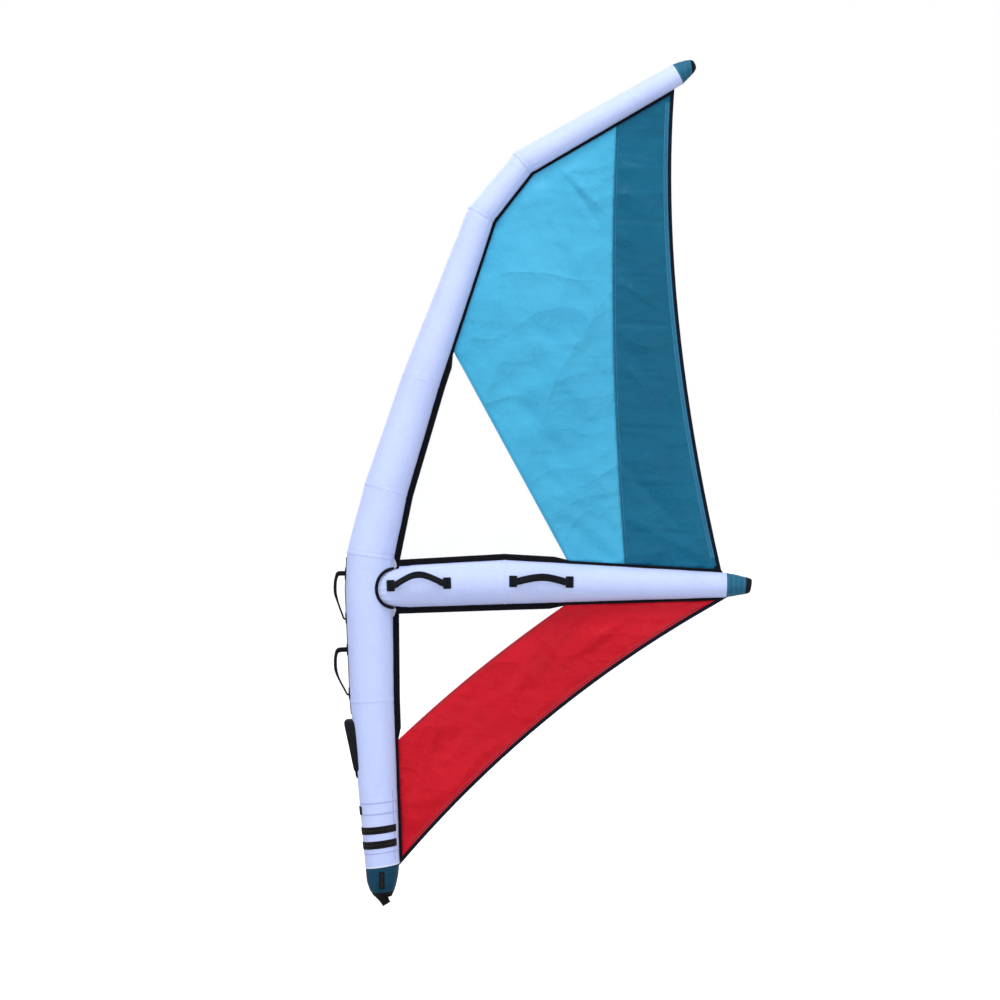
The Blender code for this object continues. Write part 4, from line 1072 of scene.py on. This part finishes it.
def make_handle(label, side):
    """A webbing handle: two sewn patches on the boom, and a strap posed at a tilt about the line between them."""
    front, rear, above, rise_height, tilt = HANDLES[label]
    node = f"{label}_handle_{'port' if side < 0 else 'starboard'}"
    ends = []
    for x in (front, rear):
        wide, axis_z = boom_side(x)
        ends.append(Vector((x, side * (wide + 0.0008), axis_z + above)))
    run = (ends[1] - ends[0]).normalized()
    out = UPWARDS.cross(run).normalized() * side
    up = run.cross(out) * side
    threads = []
    for end_name, end in zip(("front", "rear"), ends):
        pad = rounded_pad(f"{node}_patch_{end_name}", end + out * (TAB_THICKNESS / 2 - 0.0004), run, up, out,
                          (TAB_LENGTH, TAB_HEIGHT, TAB_THICKNESS + 0.0012), "webbing")
        piece(pad, "webbing_black", f"{node}_tab_{end_name}")
        for inset in (0.0030, 0.0052):
            threads += box_stitch(end + out * (TAB_THICKNESS + 0.0002), run, up, out,
                                  TAB_LENGTH - 2 * inset, TAB_HEIGHT - 2 * inset)
    stitches(f"{node}_patch_stitching", threads, "thread_dark", "webbing_black", "patch")

    pivot = ends[0] + out * (TAB_THICKNESS + STRAP_PIVOT_HEIGHT)
    length = (ends[1] - ends[0]).length
    count = 64
    centres, tilts = [], []
    for i in range(count + 1):
        share = i / count
        near = min(share, 1.0 - share)
        angle = math.radians(tilt) * min(1.0, near / 0.16) ** 0.8
        bell = (0.5 - 0.5 * math.cos(2 * math.pi * share)) ** 0.8
        height = rise_height * bell - 0.0075 * max(0.0, 1.0 - near / 0.09)
        centres.append(pivot + run * (length * share) + (out * math.cos(angle) + up * math.sin(angle)) * height)
        tilts.append(angle)
    sections = []
    for i, (centre, angle) in enumerate(zip(centres, tilts)):
        along = direction(centres, i)
        across = up * math.cos(angle) - out * math.sin(angle)
        across = (across - along * across.dot(along)).normalized()
        near = min(i, count - i) / count
        width = 0.0235 + (STRAP_WIDTH - 0.0235) * min(1.0, near * 8.0)
        thick = STRAP_THICKNESS * (0.75 + 0.25 * min(1.0, near * 6.0))
        sections.append((centre, across, along.cross(across), width, thick))
    lean = math.radians(tilt)
    rise = out * math.cos(lean) + up * math.sin(lean)
    crossing = ("rig", node), pivot - rise * 0.002, pivot + rise * 0.012
    bridge(swept(f"{node}_webbing", sections, "webbing"), "webbing_black", *crossing, node + "_strap")
    thread = stitch_mesh(f"{node}_webbing_stitching", side_runs(sections[3:-3], 0.0032), "thread_dark", "strap")
    bridge(thread, "webbing_black", *crossing)


def make_uphaul_loop(label):
    """A stiff loop of webbing on the mast's leading edge, sewn down under two patches."""
    top, _, reach, bottom = UPHAUL_LOOPS[label]
    upper, lower = (tube_point(MAST_HOOPS, place_at(z), 180.0, LOOP_LIFT) for z in (top, bottom))
    run = (lower - upper).normalized()
    rise = Vector((run.z, 0.0, -run.x))
    rise = rise if rise.x < 0 else -rise
    length = (lower - upper).length
    route = [(-0.0005, -0.0100), (0.0, 0.0), (0.0, reach * 0.35), (0.001, reach * 0.72), (0.008, reach),
             (0.030, reach + 0.006), (length * 0.42, reach + 0.007), (length * 0.60, reach),
             (length * 0.78, reach * 0.58), (length * 0.92, reach * 0.20), (length, 0.0),
             (length + 0.006, -0.0090)]
    count = 72
    path = smooth_path([upper + run * a + rise * b for a, b in route], count)
    sections = []
    for i, centre in enumerate(path):
        share = i / count
        width = 0.020 - 0.004 * max(0.0, (share - 0.6) / 0.4)
        thick = 0.0165 - 0.0060 * min(1.0, max(0.0, (share - 0.30) / 0.10))
        thick -= 0.0045 * min(1.0, max(0.0, (share - 0.55) / 0.12))
        sections.append((centre, SIDEWAYS, SIDEWAYS.cross(direction(path, i)) * -1.0, width, thick))
    bridge(swept(f"uphaul_webbing_{label}", sections, "webbing"), "webbing_black", ("rig", "uphaul_" + label),
           upper - rise * 0.001, upper + rise * 0.012, "uphaul_loop_" + label)
    for end_name, z in (("top", top), ("bottom", bottom)):
        name = f"uphaul_patch_{label}_{end_name}"
        places = places_at(z - 0.021, z + 0.021, 8)
        piece(tube_strip(name, MAST_HOOPS, places, fan(180.0, 10.5, 7), (0.0006, 0.0042), "webbing"),
              "webbing_black")
        centre, out = on_tube(MAST_HOOPS, place_at(z), 180.0, 0.0043)
        along = (tube_point(MAST_HOOPS, places[-1], 180.0) - tube_point(MAST_HOOPS, places[0], 180.0)).normalized()
        threads = box_stitch(centre, SIDEWAYS, along, out, 0.018, 0.032)
        stitches(name + "_stitching", threads, "thread_dark", "webbing_black", "patch")


def make_mast_webbing():
    places = places_at(*FRONT_WEBBING, 80)
    strip = tube_strip("leading_edge_webbing", MAST_HOOPS, places,
                       [180.0 + a for a in (-8.0, -5.0, -2.5, 0.0, 2.5, 5.0, 8.0)], (0.0002, 0.0020), "webbing")
    piece(strip, "webbing_black", "front_webbing")
    runs = [surface_run(MAST_HOOPS, places, [180.0 + a] * len(places), 0.0020) for a in (-6.2, 6.2)]
    stitches("leading_edge_stitching", runs, "thread_dark", "webbing_black", "webbing")
    profile = ((0.0, 0.0002), (0.0, 0.0014), (0.12, 0.0022), (0.5, 0.0026), (0.88, 0.0022), (1.0, 0.0014),
               (1.0, 0.0002))
    for label, (middle, height) in FOOT_BANDS.items():
        low, high = place_at(middle - height / 2), place_at(middle + height / 2)
        rings = [[tube_point(MAST_HOOPS, low + (high - low) * share, angle, lift) for share, lift in profile]
                 for angle in fan(180.0, 151.0, 101)]
        band = loft("foot_webbing_" + label, rings, "webbing", caps=(True, True), sharp=60.0)
        piece(band, "webbing_black", "foot_band_" + label)
        runs = [surface_run(MAST_HOOPS, [low + (high - low) * share] * 101, fan(180.0, 149.0, 101), 0.0024)
                for share in (0.14, 0.44, 0.56, 0.86)]
        stitches(f"foot_webbing_{label}_stitching", runs, "thread_brown", "webbing_black", "band")
    tab = tube_strip("foot_pull_tab", MAST_HOOPS, places_at(0.336, 0.366, 8), fan(180.0, 28.0, 11),
                     (0.0002, 0.0032), "webbing")
    piece(tab, "webbing_black", "foot_tab")


for handle_label in HANDLES:
    for handle_side in (-1, 1):
        make_handle(handle_label, handle_side)
for loop_label in UPHAUL_LOOPS:
    make_uphaul_loop(loop_label)
make_mast_webbing()


# ---- caps, boot and valve flap ---------------------------------------------------------------------
def oval(centre, half, wide, sides=64):
    """Points round an ellipse in the plane of half and the sideways axis."""
    return [centre + half * math.cos(2 * math.pi * k / sides)
            + Vector((0.0, wide * math.sin(2 * math.pi * k / sides), 0.0)) for k in range(sides)]


def station_rings(stations, count, closing=0.0):
    """Smooth rings through stations (x, z, half x, half z, half width); closing shrinks the last ones."""
    centres = smooth_path([Vector((x, 0.0, z)) for x, z, *_ in stations], count)
    halves = smooth_path([Vector((hx, 0.0, hz)) for _, _, hx, hz, _ in stations], count)
    widths = smooth_path([Vector((wide, 0.0, 0.0)) for *_, wide in stations], count)
    rings = []
    for i, (centre, half, wide) in enumerate(zip(centres, halves, widths)):
        left = (count - i) / count
        shrink = 1.0 if closing <= 0.0 or left > closing else 0.82 + 0.18 * math.sqrt(
            max(0.0, 1.0 - (1.0 - left / closing) ** 2))
        rings.append(oval(centre, half * shrink, wide.x * shrink))
    return rings


def ring_run(ring, lift):
    """A closed thread path round a ring, lifted outwards."""
    centre = sum(ring, Vector()) / len(ring)
    loop = ring + ring[:1]
    normals = [(p - centre).normalized() for p in loop]
    return [p + n * lift for p, n in zip(loop, normals)], normals


def wavy(rings, amount, seed):
    """Rings with the small folds of gathered cloth."""
    made = []
    for row, ring in enumerate(rings):
        centre = sum(ring, Vector()) / len(ring)
        fade = math.sin(math.pi * row / max(len(rings) - 1, 1)) ** 0.5
        made.append([p + (p - centre).normalized() * amount * fade * (
            math.sin(k * 2 * math.pi / len(ring) * 9 + seed) * 0.5 + noise.noise(p * 55.0))
            for k, p in enumerate(ring)])
    return made


def station_oval(station, share=1.0):
    x, z, half_x, half_z, wide = station
    return oval(Vector((x, 0.0, z)), Vector((half_x, 0.0, half_z)) * share, wide * share)


def cap_cloth(name, stations, waves, lip_share, closing_share, finish, node):
    """The sewn cloth of a cap or boot over stations, turned in at its mouth. Returns its rings."""
    rings = wavy(station_rings(stations, 30), *waves)
    lip = [station_oval(stations[0], lip_share), station_oval(stations[0])]
    closing = [station_oval(stations[-1], closing_share)]
    closed = closing_share < BOOT_OPENING
    piece(loft(name, lip + rings + closing, finish, caps=(True, closed)), "cap_teal", node)
    return rings


def make_cap(name, hoop, stations, tip, nodes):
    centre, unit, tall, wide = hoop
    first = (centre.x, centre.z, unit.x * tall, unit.z * tall, wide)
    rings = cap_cloth(name + "_cloth", [first] + stations, (0.0011, 2.0), 0.93, 0.5, "cap", nodes[0])
    piece(loft(name + "_end", station_rings(tip, 14, 0.6), "neoprene", caps=(True, True)), "rubber_black", nodes[1])
    runs = [ring_run(rings[i], 0.0004) for i in (1, 3, 10, 12, 19, 27)]
    stitches(name + "_stitching", runs, "thread_teal", "cap_teal", "cap")
    for index in (11, 20):
        band = [ring_run(rings[row], lift + 0.0002)[0][:-1]
                for row, lift in ((index - 1, 0.0), (index, 0.0012), (index + 1, 0.0))]
        piece(loft(f"{name}_seam_{index}", band, "cap"), "cap_teal")


def make_caps():
    make_cap("head_cap", MAST_HOOPS[-1], HEAD_CAP, HEAD_TIP, ("head_cap", "head_bumper"))
    make_cap("clew_cap", BOOM_HOOPS[-1], CLEW_CAP, CLEW_TIP, ("clew_cap", "clew_bumper"))


def make_boot():
    x, z, tall = MAST[0]
    first = (x, z, tall, MAST_FOOT_SLANT, tall)
    rings = cap_cloth("boot_cloth", [first] + BOOT, (0.0010, 1.0), 0.94, BOOT_OPENING, "boot", "foot_boot")
    edge = [oval(Vector((x, 0.0, z + row * 0.0028)), Vector((tall + lift, 0.0, MAST_FOOT_SLANT)), tall + lift, 96)
            for row, lift in ((-1.0, 0.0004), (-0.6, 0.0018), (0.6, 0.0018), (1.0, 0.0004))]
    piece(loft("boot_edge_piping", edge, "edge"), "cap_teal")
    stitches("boot_stitching", [ring_run(rings[i], 0.0004) for i in (2, 4, 26)], "thread_boot", "cap_teal", "cap")
    forwards = Vector((1.0, 0.0, 0.0))
    for label, side in (("port", -1.0), ("starboard", 1.0)):
        path = []
        for i in range(25):
            z = 0.1235 - 0.062 * i / 24
            wide = 0.0488 + (0.0618 - 0.0488) * min(1.0, max(0.0, (z - 0.060) / 0.083)) ** 0.8
            path.append(Vector((-0.0153, side * (wide + 0.0022), z)))
        sections = [(centre, forwards, forwards.cross(direction(path, i)), 0.0205, 0.0034)
                    for i, centre in enumerate(path)]
        piece(swept("boot_webbing_" + label, sections, "webbing"), "webbing_black", "boot_strap_" + label)
        core = [(centre + normal * (0.0011 * (1 if normal.y * side > 0 else -1)), across, normal, 0.0070, 0.0022)
                for centre, across, normal, _, _ in sections[2:-2]]
        piece(swept("boot_webbing_core_" + label, core, "brown"), "webbing_black")
        stitches(f"boot_webbing_{label}_stitching", side_runs(sections[1:-1], 0.0022), "thread_brown",
                 "webbing_black", "boot")


def flap_rings():
    """Cross-sections of the padded flap, from its sewn bottom edge to its rounded top."""
    stations = [(0.00, 0.0045, 0.62), (0.04, 0.0075, 0.80), (0.10, 0.0100, 0.92), (0.45, 0.0180, 1.0),
                (0.72, 0.0245, 1.0), (0.88, 0.0282, 0.97), (0.95, 0.0275, 0.86), (0.985, 0.0230, 0.70),
                (1.00, 0.0170, 0.55)]
    keys = smooth_path([Vector(s) for s in stations], 44)
    bottom, top = place_at(FLAP_BOTTOM), place_at(FLAP_TOP)
    rings = []
    for share, proud, spread in keys:
        share = min(max(share, 0.0), 1.0)
        middle = tube_point(MAST_HOOPS, bottom + (top - bottom) * share, 180.0)
        _, radius = mast_circle(middle.z)
        half = FLAP_HALF_WIDTH * spread
        ring = []
        for k in range(33):
            turn = math.pi * k / 32
            y = half * math.copysign(abs(math.cos(turn)) ** 0.75, math.cos(turn))
            rise = proud * math.sin(turn) ** 0.55
            behind = radius - math.sqrt(max(radius ** 2 - y ** 2, 0.0))
            seat = behind * (1.0 - math.sin(turn) ** 0.6) - 0.0012
            ring.append(middle + Vector((seat - rise, y, 0.0)))
        rings.append(ring)
    return rings


def make_valve_flap():
    rings = flap_rings()
    flap = loft("valve_flap_pad", rings, "neoprene", caps=(True, True), sharp=60.0)
    piece(flap, "webbing_black", "valve_flap", body="flap")

    def outwards(point, ring):
        return (point - (ring[0] + ring[-1]) / 2).normalized()

    runs = [([ring[index] for ring in rings[2:-2]], [outwards(ring[index], ring) for ring in rings[2:-2]])
            for index in (3, 6, 26, 29)]
    top = rings[-6]
    runs.append((top[3:30], [outwards(p, top) for p in top[3:30]]))
    stitches("valve_flap_stitching", runs, "thread_dark", "webbing_black", "flap", body="flap")
    piece(tube_strip("valve_flap_hem", MAST_HOOPS, places_at(0.470, 0.496, 4), fan(180.0, 20.0, 11),
                     (0.0003, 0.0040), "webbing"), "webbing_black")
    fold = tube_strip("valve_flap_fold", MAST_HOOPS, places_at(0.476, 0.508, 8), fan(180.0, 18.0, 11),
                      (0.0026, 0.0056), "webbing")
    bridge(fold, "webbing_black", ("rig", "flap"), (-0.118, 0.0, 0.478), (-0.118, 0.0, 0.500))


def slab(name, points, layers, finish, slot):
    """A flat piece in the sail's plane: layers give how far each is to the side, and its size."""
    middle = sum(points, Vector()) / len(points)
    rings = [[middle + (p - middle) * size + SIDEWAYS * y for p in points] for y, size in layers]
    piece(loft(name, rings, finish, caps=(True, True)), slot)


def make_gussets():
    """Small light-grey corner pieces where the luff tapes turn into the boom's tapes."""
    for name, side in (("upper", 1.0), ("lower", -1.0)):
        z = ROOT_MIDDLE_Z + side * (ROOT_HALF_HEIGHT + 0.022)
        axis_x, radius = mast_circle(z)
        corner = Vector((axis_x + radius, 0.0, z))
        points = [corner + Vector((a, 0.0, b * side)) for a, b in (
            (-0.012, 0.020), (0.004, 0.016), (0.009, 0.002), (0.012, -0.010), (0.004, -0.022), (-0.012, -0.020))]
        rings = [[p + SIDEWAYS * y - (p - corner) * shrink for p in points]
                 for y, shrink in ((-0.0062, 0.2), (-0.0050, 0.0), (0.0050, 0.0), (0.0062, 0.2))]
        piece(loft("corner_gusset_" + name, rings, "clear", caps=(True, True)), "sleeve_white")


def make_root_fill():
    """Black cloth that closes the gap between the boom's rounded root and its two tapes."""
    for name, angle, side in (("upper", 180.0, 1.0), ("lower", 0.0, -1.0)):
        edge = [tube_point(BOOM_HOOPS, boom_place(0.0300 + 0.0125 * i, angle), angle) for i in range(15)]
        points = [p + UPWARDS * (side * 0.0030) for p in edge] + [p - UPWARDS * (side * 0.0150) for p in edge[::-1]]
        slab("boom_root_fill_" + name, points, ((-0.0015, 1.0), (0.0015, 1.0)), "tape", "tape_black")


def make_gaiters():
    """A rubber gaiter over the universal joint, in two lengths that meet at the link."""
    lean, flat = Vector((-0.5, 0.0, 0.866025)), Vector((0.866025, 0.0, 0.5))
    level = Vector((1.0, 0.0, 0.0))
    stations = [(Vector((-0.0127, 0.0, 0.0330)), level, 0.0345), (Vector((-0.0132, 0.0, 0.0285)), level, 0.0300),
                (Vector((-0.0135, 0.0, 0.0235)), level.lerp(flat, 0.4).normalized(), 0.0225),
                (lean * 0.0205, level.lerp(flat, 0.8).normalized(), 0.0182), (lean * 0.0150, flat, 0.0172),
                (lean * 0.0095, flat, 0.0165), (lean * 0.0052, flat, 0.0160)]
    for name, part, bodies, start, end in (
            ("upper", stations[:4], ("rig", "foot_link"), stations[0][0], lean * 0.0225),
            ("lower", stations[3:], ("foot_link", "base_fork"), lean * 0.0175, lean * 0.0085)):
        centres = smooth_path([centre for centre, _, _ in part], 24)
        halves = smooth_path([across * radius for _, across, radius in part], 24)
        rings = []
        for i, (centre, half) in enumerate(zip(centres, halves)):
            ridge = 1.0 + 0.035 * math.sin(i * math.pi / 3.0)
            rings.append(oval(centre, half * ridge, half.length * ridge))
        inner = [oval(centres[i], halves[i] * 0.9, halves[i].length * 0.9) for i in (-1, 0)]
        bridge(loft("foot_gaiter_" + name, rings + inner + rings[:1], "rubber"), "rubber_black", bodies, start, end)


def make_foot_seams():
    """Welted seams round the sleeve near the foot, and one down each of its sides."""
    for index, z in enumerate(FOOT_SEAM_HEIGHTS):
        rings = [tube_ring(MAST_HOOPS, place_at(z + step), lift)
                 for step, lift in ((-0.0026, -0.0004), (-0.0012, 0.0012), (0.0012, 0.0012), (0.0026, -0.0004))]
        piece(loft(f"foot_seam_{index}", rings, "sleeve_seam"), "sleeve_white")
    for label, angle in (("port", -38.0), ("starboard", 38.0)):
        piece(tube_strip("foot_side_seam_" + label, MAST_HOOPS, places_at(0.160, 0.420, 20), fan(angle, 1.5, 3),
                         (-0.0004, 0.0011), "sleeve_seam"), "sleeve_white")


def make_clew_patch():
    """The black corner patch where the top tape runs out past the leech."""
    corners = [Vector((x, 0.0, z)) for x, z in (
        (1.2040, 1.2400), (1.2100, 1.2385), (1.2330, 1.2185), (1.2330, 1.2120), (1.1990, 1.2150))]
    slab("clew_corner_patch", corners, ((-0.0034, 0.86), (-0.0024, 1.0), (0.0024, 1.0), (0.0034, 0.86)), "tape",
         "tape_black")


make_gussets()
make_root_fill()
make_clew_patch()
make_foot_seams()
make_caps()
make_boot()
make_gaiters()
make_valve_flap()


# ---- finishes of the carried-over CAD nodes ----------------------------------------------------------
KEPT = {
    "mast_bladder": "bladder", "boom_bladder": "bladder", "transfer_hose": "hose", "valve_flange": "rubber",
    "valve_body": "plastic", "valve_plunger": "plastic", "valve_cap": "plastic", "valve_spring": "steel",
    "boot_rim": "rubber", "foot_plug": "plastic", "foot_link": "urethane", "base_fork": "plastic",
    "base_disc": "rubber", "upper_pivot_pin": "steel", "lower_pivot_pin": "steel",
}
for node_name, finish_name in KEPT.items():
    for material_slot in NODES[node_name].material_slots:
        material_slot.material = FINISHES[finish_name]


# ---- camera, lights and floor ----------------------------------------------------------------------
def seen_by_camera(tree, around, seen, output):
    """Shows one shader to the camera and the other to the rest of the light."""
    path = tree.nodes.new("ShaderNodeLightPath")
    mix = tree.nodes.new("ShaderNodeMixShader")
    tree.links.new(path.outputs["Is Camera Ray"], mix.inputs["Fac"])
    tree.links.new(around.outputs[0], mix.inputs[1])
    tree.links.new(seen.outputs[0], mix.inputs[2])
    tree.links.new(mix.outputs["Shader"], tree.nodes[output].inputs["Surface"])


def make_camera(scene):
    camera = bpy.data.objects.new("camera", bpy.data.cameras.new("camera"))
    scene.collection.objects.link(camera)
    camera.data.lens = CAMERA_LENS
    camera.data.sensor_width = SENSOR
    camera.location = (PICTURE_CENTRE[0], -PICTURE_WIDTH * CAMERA_LENS / SENSOR, PICTURE_CENTRE[1])
    camera.rotation_euler = (math.radians(90.0), 0.0, 0.0)
    camera.data.clip_end = 200.0
    scene.camera = camera


def make_stage():
    scene = bpy.context.scene
    make_camera(scene)
    scene.view_settings.view_transform = "Standard"

    mesh = bpy.data.meshes.new("floor")
    half = 60.0
    mesh.from_pydata([(-half, -half, 0), (half, -half, 0), (half, half, 0), (-half, half, 0)], [], [(0, 1, 2, 3)])
    mesh.materials.append(pale_floor())
    floor = bpy.data.objects.new("floor", mesh)
    floor.location.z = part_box("base_disc")[0].z - 0.004
    scene.collection.objects.link(floor)

    world = bpy.data.worlds.new("studio")
    scene.world = world
    world.use_nodes = True
    sky = world.node_tree.nodes["Background"]
    sky.inputs["Color"].default_value = (0.93, 0.95, 1.0, 1.0)
    sky.inputs["Strength"].default_value = 0.66
    white = world.node_tree.nodes.new("ShaderNodeBackground")
    white.inputs["Color"].default_value = (1.0, 1.0, 1.0, 1.0)
    seen_by_camera(world.node_tree, sky, white, "World Output")

    for name, place, size, power in LIGHTS:
        lamp = bpy.data.lights.new(name, "AREA")
        lamp.shape = "DISK"
        lamp.size = size
        lamp.energy = power
        made = bpy.data.objects.new(name, lamp)
        made.location = place
        made.rotation_euler = (LIGHT_AIM - made.location).to_track_quat("-Z", "Y").to_euler()
        scene.collection.objects.link(made)


def pale_floor():
    """A white studio floor that throws little light back up at the object."""
    made = bpy.data.materials.new("pale_floor")
    made.use_nodes = True
    shader = made.node_tree.nodes["Principled BSDF"]
    for socket, value in (("Base Color", (0.93, 0.93, 0.93, 1.0)), ("Roughness", 0.8), ("Specular IOR Level", 0.1),
                          ("Emission Color", (1.0, 1.0, 1.0, 1.0)), ("Emission Strength", 0.52)):
        shader.inputs[socket].default_value = value
    dull = made.node_tree.nodes.new("ShaderNodeBsdfDiffuse")
    dull.inputs["Color"].default_value = (0.52, 0.52, 0.52, 1.0)
    seen_by_camera(made.node_tree, dull, shader, "Material Output")
    return made


make_stage()
